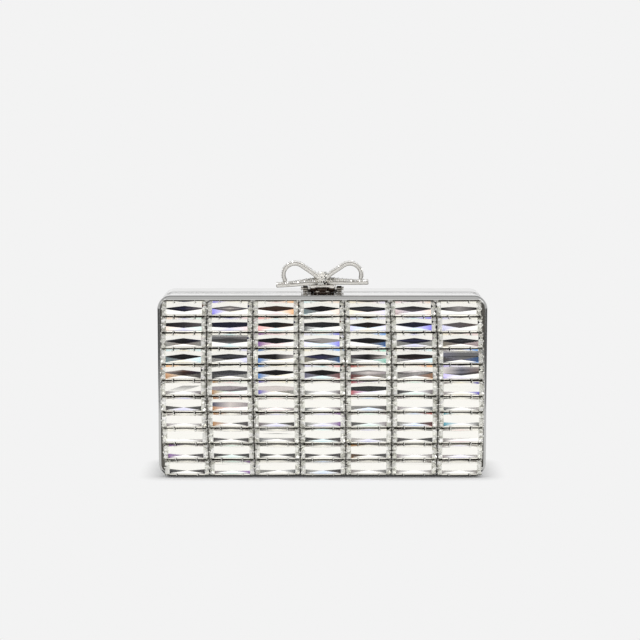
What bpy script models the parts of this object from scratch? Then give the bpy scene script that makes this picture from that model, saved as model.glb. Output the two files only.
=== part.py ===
"""A hard-shell box clutch with a crystal front and a bow-shaped clasp lever.

The case stands upright on its long lower edge.  X runs along the width, -Y is the crystal
front and +Z is up.  The origin is under the middle of the case, on the surface it stands on.
Two metal half shells meet at an upright seam.  The front half swings about a barrel hinge in
the bottom of the seam, and the bow lever on top tilts back to lift its spring latch.
"""
import math

import bpy
import bmesh
from mathutils import Matrix, Vector

MM = 0.001

# Stones and their grid
STONE_COLUMNS = 7
STONE_ROWS = 11
STONE_LENGTH = 24.0 * MM
STONE_HEIGHT = 8.0 * MM
COLUMN_GAP = 1.3 * MM
ROW_GAP = 0.69 * MM
CROWN_DEPTH = 1.6 * MM
GIRDLE_DEPTH = 0.4 * MM
PAVILION_DEPTH = 2.2 * MM
TABLE_LENGTH_SHARE = 0.83
TABLE_HEIGHT_SHARE = 0.55
KEEL_LENGTH_SHARE = 0.75
KEEL_HEIGHT_SHARE = 0.10

# Case
SIDE_BORDER = 1.45 * MM
END_BORDER = 2.2 * MM
HALF_DEPTH = 22.0 * MM
CORNER_RADIUS = 7.3 * MM
WALL = 1.2 * MM
SEAM_ROUND = 0.6 * MM
BEZEL_DEPTH = 3.0 * MM
BEZEL_ROUND = 2.8 * MM
OPENING_RADIUS = 5.0 * MM
CLEARANCE = 0.3 * MM
CUT_OVERRUN = 2.0 * MM

# Plates, claw frames and linings
PLATE_THICKNESS = 1.0 * MM
PLATE_INSET = 1.0 * MM
COVER_THICKNESS = 1.2 * MM
BACKING_THICKNESS = 0.5 * MM
BACKING_WIDTH = 14.0 * MM
BACKING_BITE = 0.2 * MM
FRAME_DEPTH = 1.4 * MM
CLAW_WIDTH = 0.8 * MM
CLAW_THICKNESS = 0.36 * MM
CLAW_RISE = 0.5 * MM
CLAW_BITE = 0.2 * MM
CLAW_STONE_GAP = 0.12 * MM
CLAW_OFFSET_SHARE = 0.235
LINING_THICKNESS = 0.8 * MM

# Dust lip around the mouth of the back half
LIP_THICKNESS = 0.8 * MM
LIP_REACH = 1.5 * MM
LIP_ROOT = 4.0 * MM
LIP_LOWER_END = 12.0 * MM

# Bottom hinge
HINGE_BARREL_RADIUS = 2.1 * MM
HINGE_PIN_RADIUS = 0.8 * MM
HINGE_LENGTH = 156.0 * MM
HINGE_KNUCKLES = 9
HINGE_GROUND_GAP = 0.3 * MM
HINGE_GROOVE_RADIUS = 4.0 * MM
HINGE_GROOVE_END = 1.7 * MM
LEAF_THICKNESS = 0.8 * MM
LEAF_WIDTH = 9.0 * MM
LEAF_TOOTH_INSET = 0.2 * MM
LEAF_RIVET_END = 18.0 * MM
LEAF_RIVET_EDGE = 2.6 * MM

# Rivets
HINGE_RIVET_RADIUS = 0.9 * MM
HINGE_RIVET_HEAD_RADIUS = 1.8 * MM
HINGE_RIVET_HEAD = 0.6 * MM
SMALL_RIVET_RADIUS = 0.5 * MM
SMALL_RIVET_HEAD_RADIUS = 0.95 * MM
SMALL_RIVET_HEAD = 0.4 * MM
RIVET_FLUSH_GAP = 0.1 * MM

# Clasp base and its pin, measured from the pin's axis or from the top of the case
CLASP_SETBACK = 3.2 * MM
CLASP_AXIS_HEIGHT = 1.7 * MM
CLASP_PLATE_THICKNESS = 0.5 * MM
CLASP_PLATE_FRONT = 1.3 * MM
CLASP_PLATE_BACK = 5.5 * MM
CLASP_BRIDGE_FRONT = 2.2 * MM
CLASP_KNUCKLE_RADIUS = 1.45 * MM
CLASP_KNUCKLE_LENGTH = 2.8 * MM
CLASP_PIN_RADIUS = 0.6 * MM
CLASP_PIN_HEAD_RADIUS = 1.1 * MM
CLASP_PIN_HEAD = 0.8 * MM
CLASP_RIVET_SETBACK = 3.9 * MM

# Lever saddle and the ears beside it
SADDLE_HALF_WIDTH = 6.6 * MM
SADDLE_FRONT = 4.8 * MM
SADDLE_BACK = 1.4 * MM
SADDLE_UNDERSIDE = 2.4 * MM
SADDLE_TOP = 4.2 * MM
SADDLE_SLEEVE_RADIUS = 1.35 * MM
POST_THICKNESS = 0.8 * MM
POST_HALF_DEPTH = 1.3 * MM

# Spring round the clasp pin
SPRING_WIRE_RADIUS = 0.2 * MM
SPRING_COIL_RADIUS = 1.25 * MM
SPRING_PITCH = 0.85 * MM
SPRING_WHOLE_TURNS = 3
SPRING_START_DEGREES = 20
SPRING_FIXED_LEG = 1.7 * MM
SPRING_MOVING_LEG = 0.7 * MM
SPRING_BAY_HALF_WIDTH = 2.1 * MM
SPRING_BAY_RADIUS = 1.8 * MM
SPRING_POINTS_PER_TURN = 10

# Bow, with heights above the top of the case
RIBBON_WIDTH = 7.0 * MM
RIBBON_THICKNESS = 1.9 * MM
RIBBON_BEHIND_AXIS = 1.5 * MM
LOOP_RADIUS = 6.2 * MM
LOOP_CENTRE_X = 15.2 * MM
LOOP_CENTRE_HEIGHT = 9.6 * MM
LOOP_ARM_HEIGHT = 9.3 * MM
LOOP_ARC_STEPS = 12
TAIL_REACH = 25.5 * MM
TAIL_ROOT_HEIGHT = 5.9 * MM
LEFT_TAIL_TIP_HEIGHT = 3.6 * MM
RIGHT_TAIL_TIP_HEIGHT = 5.3 * MM
TAIL_STEPS = 4
KNOT_HALF_WIDTH = 3.0 * MM
KNOT_HEIGHT = 6.0 * MM
KNOT_PROUD = 0.4 * MM
KNOT_ROUND = 0.9 * MM

# Latch tongue and the striker that it catches
TONGUE_THICKNESS = 0.4 * MM
TONGUE_WIDTH = 5.2 * MM
TONGUE_REACH = 8.9 * MM
TONGUE_BEND_LENGTH = 2.4 * MM
TONGUE_BEND_DROP = 0.4 * MM
TONGUE_NOSE_SLANT = 0.6 * MM
TONGUE_NOSE_DEPTH = 0.9 * MM
TONGUE_RIVET_REACH = 3.6 * MM
TONGUE_RIVET_BITE = 1.0 * MM
STRIKER_WIDTH = 8.8 * MM
STRIKER_THICKNESS = 0.5 * MM
STRIKER_NEAR_EDGE = 1.0 * MM
STRIKER_FAR_EDGE = 12.5 * MM
STRIKER_RIVET_EDGE = 2.0 * MM
STRIKER_RIVET_SPREAD = 5.2 * MM
STRIKER_SLOT_NEAR = 0.3 * MM
STRIKER_SLOT_FAR = 1.7 * MM
STRIKER_SLOT_SIDE = 0.6 * MM

# Roundness of the modelled curves
CORNER_SEGMENTS = 6
EDGE_SEGMENTS = 3
SEAM_SEGMENTS = 2
PIN_SIDES = 12
BARREL_SIDES = 16

# Sizes worked out from those above
COLUMN_PITCH = STONE_LENGTH + COLUMN_GAP
ROW_PITCH = STONE_HEIGHT + ROW_GAP
GRID_WIDTH = STONE_COLUMNS * COLUMN_PITCH
GRID_HEIGHT = STONE_ROWS * ROW_PITCH
CASE_WIDTH = GRID_WIDTH + 2 * SIDE_BORDER
CASE_HEIGHT = GRID_HEIGHT + 2 * END_BORDER
CASE_MIDDLE = CASE_HEIGHT / 2
STONE_DEPTH = CROWN_DEPTH + GIRDLE_DEPTH + PAVILION_DEPTH
STONE_PROUD = CLEARANCE + BACKING_THICKNESS - BACKING_BITE + STONE_DEPTH - PLATE_INSET

PARTING_Y = STONE_PROUD / 2
FRONT_Y = PARTING_Y - HALF_DEPTH
BACK_Y = PARTING_Y + HALF_DEPTH
PLATE_FRONT_Y = FRONT_Y + PLATE_INSET
BACKING_BACK_Y = PLATE_FRONT_Y - CLEARANCE
BACKING_FRONT_Y = BACKING_BACK_Y - BACKING_THICKNESS
KEEL_Y = BACKING_FRONT_Y + BACKING_BITE
FRAME_FRONT_Y = BACKING_BACK_Y - FRAME_DEPTH
GIRDLE_FRONT_Y = KEEL_Y - PAVILION_DEPTH - GIRDLE_DEPTH
CLAW_TIP_Y = GIRDLE_FRONT_Y - CLAW_RISE

HINGE_Z = HINGE_GROUND_GAP + HINGE_BARREL_RADIUS
LEAF_BOTTOM_Z = WALL + CLEARANCE
LEAF_TOP_Z = LEAF_BOTTOM_Z + LEAF_THICKNESS
HINGE_RIVET_SEAT_Z = LEAF_TOP_Z + CLEARANCE
LINING_BOTTOM_Z = HINGE_RIVET_SEAT_Z + HINGE_RIVET_HEAD + CLEARANCE

CLASP_Y = PARTING_Y + CLASP_SETBACK
CLASP_Z = CASE_HEIGHT + CLASP_AXIS_HEIGHT
CLASP_PLATE_Z = CASE_HEIGHT + CLEARANCE
POST_INNER_X = SADDLE_HALF_WIDTH + CLEARANCE
POST_OUTER_X = POST_INNER_X + POST_THICKNESS
CLASP_KNUCKLE_INNER_X = POST_OUTER_X + CLEARANCE
CLASP_KNUCKLE_OUTER_X = CLASP_KNUCKLE_INNER_X + CLASP_KNUCKLE_LENGTH
CLASP_RIVET_X = (CLASP_KNUCKLE_INNER_X + CLASP_KNUCKLE_OUTER_X) / 2
RIBBON_BACK_Y = CLASP_Y + RIBBON_BEHIND_AXIS
RIBBON_FRONT_Y = RIBBON_BACK_Y - RIBBON_WIDTH
KNOT_BOTTOM_Z = CASE_HEIGHT + SADDLE_TOP + CLEARANCE

CHROME = ("polished_metal", (0.78, 0.78, 0.77), 1.0, 0.12)
GUNMETAL = ("dark_plate", (0.060, 0.058, 0.050), 1.0, 0.38)
CRYSTAL = ("crystal", (0.86, 0.88, 0.90), 0.0, 0.04)
SPRING_STEEL = ("spring_steel", (0.34, 0.30, 0.27), 1.0, 0.30)
SATIN = ("lining_satin", (0.55, 0.54, 0.52), 0.0, 0.70)
BOW_METAL = ("bow_metal", (0.82, 0.80, 0.76), 1.0, 0.18)


def clear_scene():
    for obj in list(bpy.data.objects):
        bpy.data.objects.remove(obj, do_unlink=True)


def make_collection(name):
    collection = bpy.data.collections.new(name)
    bpy.context.scene.collection.children.link(collection)
    return collection


def make_material(name, finish):
    label, colour, metallic, roughness = finish
    material = bpy.data.materials.new(f"{name}_{label}")
    material.use_nodes = True
    shader = material.node_tree.nodes["Principled BSDF"]
    shader.inputs["Base Color"].default_value = (*colour, 1.0)
    shader.inputs["Metallic"].default_value = metallic
    shader.inputs["Roughness"].default_value = roughness
    material.diffuse_color = (*colour, 1.0)
    return material


clear_scene()
PARTS = make_collection("Crystal_box_clutch")
CUTTERS = make_collection("Cutters")


def finish_mesh(name, bm):
    """Turn a bmesh into an object of the cutters' collection; add_part moves it on."""
    bmesh.ops.recalc_face_normals(bm, faces=bm.faces)
    mesh = bpy.data.meshes.new(name)
    bm.to_mesh(mesh)
    bm.free()
    obj = bpy.data.objects.new(name, mesh)
    CUTTERS.objects.link(obj)
    obj.hide_render = True
    obj.display_type = 'WIRE'
    return obj


def add_part(obj, finish, pivot=None):
    """Make a shape one of the clutch's pieces, with its own material."""
    CUTTERS.objects.unlink(obj)
    PARTS.objects.link(obj)
    obj.hide_render = False
    obj.display_type = 'TEXTURED'
    obj.data.materials.append(make_material(obj.name, finish))
    obj.data.shade_smooth()
    obj.data.set_sharp_from_angle(angle=math.radians(30))
    if pivot is not None:
        obj.parent = pivot
        obj.matrix_parent_inverse = Matrix.Translation(pivot.location).inverted()
    return obj


def make_pivot(name, location):
    pivot = bpy.data.objects.new(name, None)
    pivot.location = location
    PARTS.objects.link(pivot)
    return pivot


def combine(target, other, operation):
    """Boolean of two meshes: DIFFERENCE cuts other away, UNION joins it."""
    modifier = target.modifiers.new(operation.lower(), 'BOOLEAN')
    modifier.operation = operation
    modifier.solver = 'EXACT'
    modifier.object = other
    return target


def repeat(obj, count, step):
    """Repeat a shape in a straight row; its copies stay apart."""
    array = obj.modifiers.new("row", 'ARRAY')
    array.count = count
    array.use_relative_offset = False
    array.use_constant_offset = True
    array.constant_offset_displace = step
    array.use_merge_vertices = False
    return obj


def block(name, low, high):
    """Plain box between two corners."""
    low = Vector(low)
    high = Vector(high)
    bm = bmesh.new()
    bmesh.ops.create_cube(bm, size=1)
    bmesh.ops.scale(bm, vec=high - low, verts=bm.verts)
    obj = finish_mesh(name, bm)
    obj.location = (low + high) / 2
    return obj


def rounded_block(name, outline, y_low, y_high, middle_z=CASE_MIDDLE, edge_round=0, round_at=0,
                  segments=EDGE_SEGMENTS):
    """Upright slab with rounded corners; the rim of its low or high face may be rounded."""
    width, height, radius = outline
    depth = y_high - y_low
    bm = bmesh.new()
    bmesh.ops.create_cube(bm, size=1)
    bmesh.ops.scale(bm, vec=(width, depth, height), verts=bm.verts)
    corner_edges = [edge for edge in bm.edges
                    if abs(edge.verts[0].co.y - edge.verts[1].co.y) > depth / 2]
    bmesh.ops.bevel(bm, geom=corner_edges, offset=radius, offset_type='OFFSET', profile=0.5,
                    segments=CORNER_SEGMENTS, affect='EDGES', material=-1)
    if edge_round > 0:
        rim_edges = [edge for edge in bm.edges
                     if all(vert.co.y * round_at > depth / 4 for vert in edge.verts)]
        bmesh.ops.bevel(bm, geom=rim_edges, offset=edge_round, offset_type='OFFSET',
                        profile=0.5, segments=segments, affect='EDGES', material=-1)
    obj = finish_mesh(name, bm)
    obj.location = (0, (y_low + y_high) / 2, middle_z)
    return obj


def case_outline(inset):
    """Outline of the case, a given distance inside its outer surface."""
    return (CASE_WIDTH - 2 * inset, CASE_HEIGHT - 2 * inset, CORNER_RADIUS - inset)


def rod(name, radius, start, end, sides=PIN_SIDES):
    """Round bar between two points."""
    start = Vector(start)
    end = Vector(end)
    bm = bmesh.new()
    bmesh.ops.create_cone(bm, cap_ends=True, segments=sides, radius1=radius, radius2=radius,
                          depth=(end - start).length)
    turn = Vector((0, 0, 1)).rotation_difference(end - start)
    bmesh.ops.rotate(bm, cent=(0, 0, 0), matrix=turn.to_matrix(), verts=bm.verts)
    obj = finish_mesh(name, bm)
    obj.location = (start + end) / 2
    return obj


def strip(name, path, run, thickness):
    """Flat strip along an open path, run wide, with the path in the middle of its thickness."""
    run = Vector(run)
    bm = bmesh.new()
    verts = [bm.verts.new(Vector(point) - run / 2) for point in path]
    edges = [bm.edges.new(pair) for pair in zip(verts, verts[1:])]
    swept = bmesh.ops.extrude_edge_only(bm, edges=edges)
    swept_verts = [item for item in swept["geom"] if isinstance(item, bmesh.types.BMVert)]
    bmesh.ops.translate(bm, vec=run, verts=swept_verts)
    obj = finish_mesh(name, bm)
    wall = obj.modifiers.new("thickness", 'SOLIDIFY')
    wall.thickness = thickness
    wall.offset = 0
    wall.use_even_offset = True
    return obj


def rivet(name, x, y, seat_z, tail_z, shank_radius, head_radius, head_height):
    """Upright rivet: a shank from seat to tail and a flat round head past the seat."""
    direction = math.copysign(1, seat_z - tail_z)
    shank = rod(name, shank_radius, (x, y, tail_z), (x, y, seat_z + direction * head_height / 2))
    head = rod(f"{name}_head_shape", head_radius, (x, y, seat_z),
               (x, y, seat_z + direction * head_height))
    return combine(shank, head, 'UNION')


def rivet_hole(name, x, y, z_low, z_high, shank_radius):
    return rod(name, shank_radius + CLEARANCE, (x, y, z_low), (x, y, z_high))


# The case: half shells, bezels and plates

def make_rim(name, y_low, y_high, seam_side):
    """Band of one half shell, rounded at the seam, with the hinge groove along its bottom."""
    rim = rounded_block(name, case_outline(0), y_low, y_high, edge_round=SEAM_ROUND,
                        round_at=seam_side, segments=SEAM_SEGMENTS)
    hollow = rounded_block(f"{name}_hollow", case_outline(WALL), y_low - CUT_OVERRUN,
                           y_high + CUT_OVERRUN)
    combine(rim, hollow, 'DIFFERENCE')
    reach = CASE_WIDTH / 2 - HINGE_GROOVE_END
    groove = rod(f"{name}_hinge_groove", HINGE_GROOVE_RADIUS, (-reach, PARTING_Y, HINGE_Z),
                 (reach, PARTING_Y, HINGE_Z), BARREL_SIDES)
    return combine(rim, groove, 'DIFFERENCE')


def make_bezel(name, y_low, y_high, outer_side):
    """Rounded frame round a plate; its outer edge is a quarter round."""
    bezel = rounded_block(name, case_outline(0), y_low, y_high, edge_round=BEZEL_ROUND,
                          round_at=outer_side)
    opening = rounded_block(f"{name}_opening", grid_outline(CLEARANCE),
                            y_low - CUT_OVERRUN, y_high + CUT_OVERRUN)
    return combine(bezel, opening, 'DIFFERENCE')


def grid_outline(grow):
    """Outline of the stone grid, grown or shrunk, with the bezel opening's corners."""
    return (GRID_WIDTH + 2 * grow, GRID_HEIGHT + 2 * grow, OPENING_RADIUS + grow)


def make_lining(name, y_low, y_high, open_side):
    """Cloth-covered tray inside one half, open towards the seam."""
    inset = WALL + CLEARANCE
    width, full_height, radius = case_outline(inset)
    top_z = CASE_HEIGHT - inset
    height = top_z - LINING_BOTTOM_Z
    middle_z = (top_z + LINING_BOTTOM_Z) / 2
    tray = rounded_block(name, (width, height, radius), y_low, y_high, middle_z)
    pocket_outline = (width - 2 * LINING_THICKNESS, height - 2 * LINING_THICKNESS,
                      radius - LINING_THICKNESS)
    if open_side > 0:
        pocket = rounded_block(f"{name}_pocket", pocket_outline, y_low + LINING_THICKNESS,
                               y_high + CUT_OVERRUN, middle_z)
    else:
        pocket = rounded_block(f"{name}_pocket", pocket_outline, y_low - CUT_OVERRUN,
                               y_high - LINING_THICKNESS, middle_z)
    return combine(tray, pocket, 'DIFFERENCE')


def make_rim_lip(name):
    """Dust lip inside the mouth: a band along the top and both sides."""
    inset = WALL + CLEARANCE
    lip = rounded_block(name, case_outline(inset), PARTING_Y - LIP_REACH, PARTING_Y + LIP_ROOT)
    hollow = rounded_block(f"{name}_hollow", case_outline(inset + LIP_THICKNESS),
                           PARTING_Y - LIP_REACH - CUT_OVERRUN, PARTING_Y + LIP_ROOT + CUT_OVERRUN)
    combine(lip, hollow, 'DIFFERENCE')
    lower_cut = block(f"{name}_lower_cut", (-CASE_WIDTH, PARTING_Y - HALF_DEPTH, -CUT_OVERRUN),
                      (CASE_WIDTH, PARTING_Y + HALF_DEPTH, LIP_LOWER_END))
    return combine(lip, lower_cut, 'DIFFERENCE')


# Stones and the frames that hold them

def stone_bmesh():
    """One baguette: girdle slab with a tapered crown in front and a tapered pavilion behind."""
    bm = bmesh.new()
    bmesh.ops.create_cube(bm, size=1)
    bmesh.ops.scale(bm, vec=(STONE_LENGTH, GIRDLE_DEPTH, STONE_HEIGHT), verts=bm.verts)
    tapers = ((-1, CROWN_DEPTH, TABLE_LENGTH_SHARE, TABLE_HEIGHT_SHARE),
              (1, PAVILION_DEPTH, KEEL_LENGTH_SHARE, KEEL_HEIGHT_SHARE))
    for side, depth, length_share, height_share in tapers:
        bm.normal_update()
        face = next(f for f in bm.faces if f.normal.y * side > 0.9)
        grown = bmesh.ops.extrude_discrete_faces(bm, faces=[face])
        tip_verts = grown["faces"][0].verts
        bmesh.ops.scale(bm, vec=(length_share, 1, height_share), verts=tip_verts)
        bmesh.ops.translate(bm, vec=(0, side * depth, 0), verts=tip_verts)
    return bm


def column_x(index):
    return (index - (STONE_COLUMNS - 1) / 2) * COLUMN_PITCH


LOWEST_ROW_Z = CASE_MIDDLE - (STONE_ROWS - 1) / 2 * ROW_PITCH
ROW_STEP = (0, 0, ROW_PITCH)


def make_crystal_column(index):
    """Eleven foil-backed stones of one column, held together by their backing strip."""
    name = f"crystal_column_{index + 1}"
    x = column_x(index)
    half_height = (STONE_ROWS - 1) / 2 * ROW_PITCH + STONE_HEIGHT / 4
    column = block(name, (x - BACKING_WIDTH / 2, BACKING_FRONT_Y, CASE_MIDDLE - half_height),
                   (x + BACKING_WIDTH / 2, BACKING_BACK_Y, CASE_MIDDLE + half_height))
    stones = finish_mesh(f"{name}_stones", stone_bmesh())
    girdle_y = KEEL_Y - PAVILION_DEPTH - GIRDLE_DEPTH / 2
    stones.location = (x, girdle_y, LOWEST_ROW_Z)
    repeat(stones, STONE_ROWS, ROW_STEP)
    return combine(column, stones, 'UNION')


def make_claw_frame(index):
    """Ladder behind one column: rails and rungs round the tapered backs of the stones."""
    name = f"claw_frame_{index + 1}"
    x = column_x(index)
    half_width = (COLUMN_PITCH - CLEARANCE) / 2
    frame = block(name, (x - half_width, FRAME_FRONT_Y, CASE_MIDDLE - GRID_HEIGHT / 2),
                  (x + half_width, BACKING_BACK_Y, CASE_MIDDLE + GRID_HEIGHT / 2))
    depth_share = (KEEL_Y - FRAME_FRONT_Y) / PAVILION_DEPTH
    window_length = STONE_LENGTH * (KEEL_LENGTH_SHARE + (1 - KEEL_LENGTH_SHARE) * depth_share)
    window_height = STONE_HEIGHT * (KEEL_HEIGHT_SHARE + (1 - KEEL_HEIGHT_SHARE) * depth_share)
    half_length = window_length / 2 + CLEARANCE
    half_opening = window_height / 2 + CLEARANCE
    windows = block(f"{name}_windows",
                    (x - half_length, FRAME_FRONT_Y - CUT_OVERRUN, LOWEST_ROW_Z - half_opening),
                    (x + half_length, BACKING_BACK_Y + CUT_OVERRUN, LOWEST_ROW_Z + half_opening))
    repeat(windows, STONE_ROWS, ROW_STEP)
    combine(frame, windows, 'DIFFERENCE')
    half_slot = BACKING_WIDTH / 2 + CLEARANCE
    slot = block(f"{name}_strip_slot",
                 (x - half_slot, BACKING_FRONT_Y - CLEARANCE, -CUT_OVERRUN),
                 (x + half_slot, BACKING_BACK_Y + CUT_OVERRUN, CASE_HEIGHT + CUT_OVERRUN))
    combine(frame, slot, 'DIFFERENCE')
    if index in (0, STONE_COLUMNS - 1):
        corners = rounded_block(f"{name}_corners", grid_outline(0),
                                FRAME_FRONT_Y - CUT_OVERRUN, BACKING_BACK_Y + CUT_OVERRUN)
        combine(frame, corners, 'INTERSECT')
    for label, side in (("left", -1), ("right", 1)):
        combine(frame, row_claws(f"{name}_row_claws_{label}", x, side), 'UNION')
        combine(frame, end_claws(f"{name}_end_claws_{label}", x, side), 'UNION')
    return frame


def row_claws(name, column_middle, side):
    """Posts between the rows, above and below every stone, on one side of the column."""
    x = column_middle + side * CLAW_OFFSET_SHARE * STONE_LENGTH
    z = LOWEST_ROW_Z - ROW_PITCH / 2
    claws = block(name, (x - CLAW_WIDTH / 2, CLAW_TIP_Y, z - CLAW_THICKNESS / 2),
                  (x + CLAW_WIDTH / 2, FRAME_FRONT_Y + CLAW_BITE, z + CLAW_THICKNESS / 2))
    return repeat(claws, STONE_ROWS + 1, ROW_STEP)


def end_claws(name, column_middle, side):
    """Posts beside the short ends of the stones, at half their height."""
    near = STONE_LENGTH / 2 + CLAW_STONE_GAP
    low_x, high_x = sorted((column_middle + side * near,
                            column_middle + side * (near + CLAW_THICKNESS)))
    claws = block(name, (low_x, CLAW_TIP_Y, LOWEST_ROW_Z - CLAW_WIDTH / 2),
                  (high_x, FRAME_FRONT_Y + CLAW_BITE, LOWEST_ROW_Z + CLAW_WIDTH / 2))
    return repeat(claws, STONE_ROWS, ROW_STEP)


# Bottom hinge

KNUCKLE_PITCH = HINGE_LENGTH / HINGE_KNUCKLES
KNUCKLE_LENGTH = KNUCKLE_PITCH - CLEARANCE
HINGE_RIVET_Y_OFFSET = LEAF_WIDTH - LEAF_RIVET_EDGE


def knuckle_left(index):
    return -HINGE_LENGTH / 2 + index * KNUCKLE_PITCH + CLEARANCE / 2


def make_hinge_leaf(name, side, first_own):
    """Comb-shaped leaf with its knuckles; side is -1 for the front half, 1 for the back."""
    far = PARTING_Y + side * LEAF_WIDTH
    leaf = block(name, (-HINGE_LENGTH / 2, min(far, PARTING_Y), LEAF_BOTTOM_Z),
                 (HINGE_LENGTH / 2, max(far, PARTING_Y), LEAF_TOP_Z))
    reach = HINGE_BARREL_RADIUS + CLEARANCE
    first_other = 1 - first_own
    others = len(range(first_other, HINGE_KNUCKLES, 2))
    left = knuckle_left(first_other) - CLEARANCE - LEAF_TOOTH_INSET
    right = knuckle_left(first_other) + KNUCKLE_LENGTH + CLEARANCE + LEAF_TOOTH_INSET
    edge = PARTING_Y + side * reach
    gaps = block(f"{name}_gaps",
                 (left, min(edge, PARTING_Y - side * CUT_OVERRUN), LEAF_BOTTOM_Z - CUT_OVERRUN),
                 (right, max(edge, PARTING_Y - side * CUT_OVERRUN), LEAF_TOP_Z + CUT_OVERRUN))
    repeat(gaps, others, (2 * KNUCKLE_PITCH, 0, 0))
    combine(leaf, gaps, 'DIFFERENCE')
    own = len(range(first_own, HINGE_KNUCKLES, 2))
    start = knuckle_left(first_own)
    knuckles = rod(f"{name}_knuckles", HINGE_BARREL_RADIUS, (start, PARTING_Y, HINGE_Z),
                   (start + KNUCKLE_LENGTH, PARTING_Y, HINGE_Z), BARREL_SIDES)
    repeat(knuckles, own, (2 * KNUCKLE_PITCH, 0, 0))
    combine(leaf, knuckles, 'UNION')
    bore = rod(f"{name}_bore", HINGE_PIN_RADIUS + CLEARANCE,
               (-HINGE_LENGTH, PARTING_Y, HINGE_Z), (HINGE_LENGTH, PARTING_Y, HINGE_Z))
    return combine(leaf, bore, 'DIFFERENCE')


def add_hinge_rivets(prefix, side, leaf, rim, pivot):
    """Two rivets through leaf and bottom wall, their tails flush with the underside."""
    y = PARTING_Y + side * HINGE_RIVET_Y_OFFSET
    for label, sign in (("left", -1), ("right", 1)):
        x = sign * (HINGE_LENGTH / 2 - LEAF_RIVET_END)
        hole = rivet_hole(f"{prefix}_rivet_hole_{label}", x, y, -CUT_OVERRUN,
                          LEAF_TOP_Z + CUT_OVERRUN, HINGE_RIVET_RADIUS)
        combine(leaf, hole, 'DIFFERENCE')
        combine(rim, hole, 'DIFFERENCE')
        pin = rivet(f"{prefix}_rivet_{label}", x, y, HINGE_RIVET_SEAT_Z, HINGE_GROUND_GAP,
                    HINGE_RIVET_RADIUS, HINGE_RIVET_HEAD_RADIUS, HINGE_RIVET_HEAD)
        add_part(pin, CHROME, pivot)


# Clasp on top of the case

TOP_WALL_RIVET_Z = CASE_HEIGHT - WALL + RIVET_FLUSH_GAP


def add_top_rivets(prefix, x_half, y, plate_top_z, plate, rim, pivot):
    """Two small rivets through a plate and the top wall below it."""
    for label, sign in (("left", -1), ("right", 1)):
        x = sign * x_half
        hole = rivet_hole(f"{prefix}_hole_{label}", x, y, CASE_HEIGHT - WALL - CUT_OVERRUN,
                          plate_top_z + CUT_OVERRUN, SMALL_RIVET_RADIUS)
        combine(plate, hole, 'DIFFERENCE')
        combine(rim, hole, 'DIFFERENCE')
        pin = rivet(f"{prefix}_{label}", x, y, plate_top_z + CLEARANCE, TOP_WALL_RIVET_Z,
                    SMALL_RIVET_RADIUS, SMALL_RIVET_HEAD_RADIUS, SMALL_RIVET_HEAD)
        add_part(pin, CHROME, pivot)


def make_clasp_base(name):
    """Plate on the back half with an end knuckle at each side for the clasp pin."""
    plate_top = CLASP_PLATE_Z + CLASP_PLATE_THICKNESS
    base = block(name, (-CLASP_KNUCKLE_OUTER_X, CLASP_Y - CLASP_PLATE_FRONT, CLASP_PLATE_Z),
                 (CLASP_KNUCKLE_OUTER_X, CLASP_Y + CLASP_PLATE_BACK, plate_top))
    notch = block(f"{name}_notch",
                  (-CLASP_KNUCKLE_INNER_X, CLASP_Y - CLASP_PLATE_FRONT - CUT_OVERRUN,
                   CLASP_PLATE_Z - CUT_OVERRUN),
                  (CLASP_KNUCKLE_INNER_X, CLASP_Y + CLASP_BRIDGE_FRONT, plate_top + CUT_OVERRUN))
    combine(base, notch, 'DIFFERENCE')
    knuckles = rod(f"{name}_knuckles", CLASP_KNUCKLE_RADIUS,
                   (-CLASP_KNUCKLE_OUTER_X, CLASP_Y, CLASP_Z),
                   (-CLASP_KNUCKLE_INNER_X, CLASP_Y, CLASP_Z))
    repeat(knuckles, 2, (CLASP_KNUCKLE_INNER_X + CLASP_KNUCKLE_OUTER_X, 0, 0))
    combine(base, knuckles, 'UNION')
    return combine(base, clasp_bore(f"{name}_bore"), 'DIFFERENCE')


def clasp_bore(name):
    return rod(name, CLASP_PIN_RADIUS + CLEARANCE, (-CASE_WIDTH / 2, CLASP_Y, CLASP_Z),
               (CASE_WIDTH / 2, CLASP_Y, CLASP_Z))


def make_clasp_pin(name):
    """Pin through base, ears and saddle, with a round head at each end."""
    head_start = CLASP_KNUCKLE_OUTER_X + CLEARANCE
    head_end = head_start + CLASP_PIN_HEAD
    shank_end = head_start + CLASP_PIN_HEAD / 2
    pin = rod(name, CLASP_PIN_RADIUS, (-shank_end, CLASP_Y, CLASP_Z), (shank_end, CLASP_Y, CLASP_Z))
    heads = rod(f"{name}_heads", CLASP_PIN_HEAD_RADIUS, (-head_end, CLASP_Y, CLASP_Z),
                (-head_start, CLASP_Y, CLASP_Z))
    repeat(heads, 2, (head_start + head_end, 0, 0))
    return combine(pin, heads, 'UNION')


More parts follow.
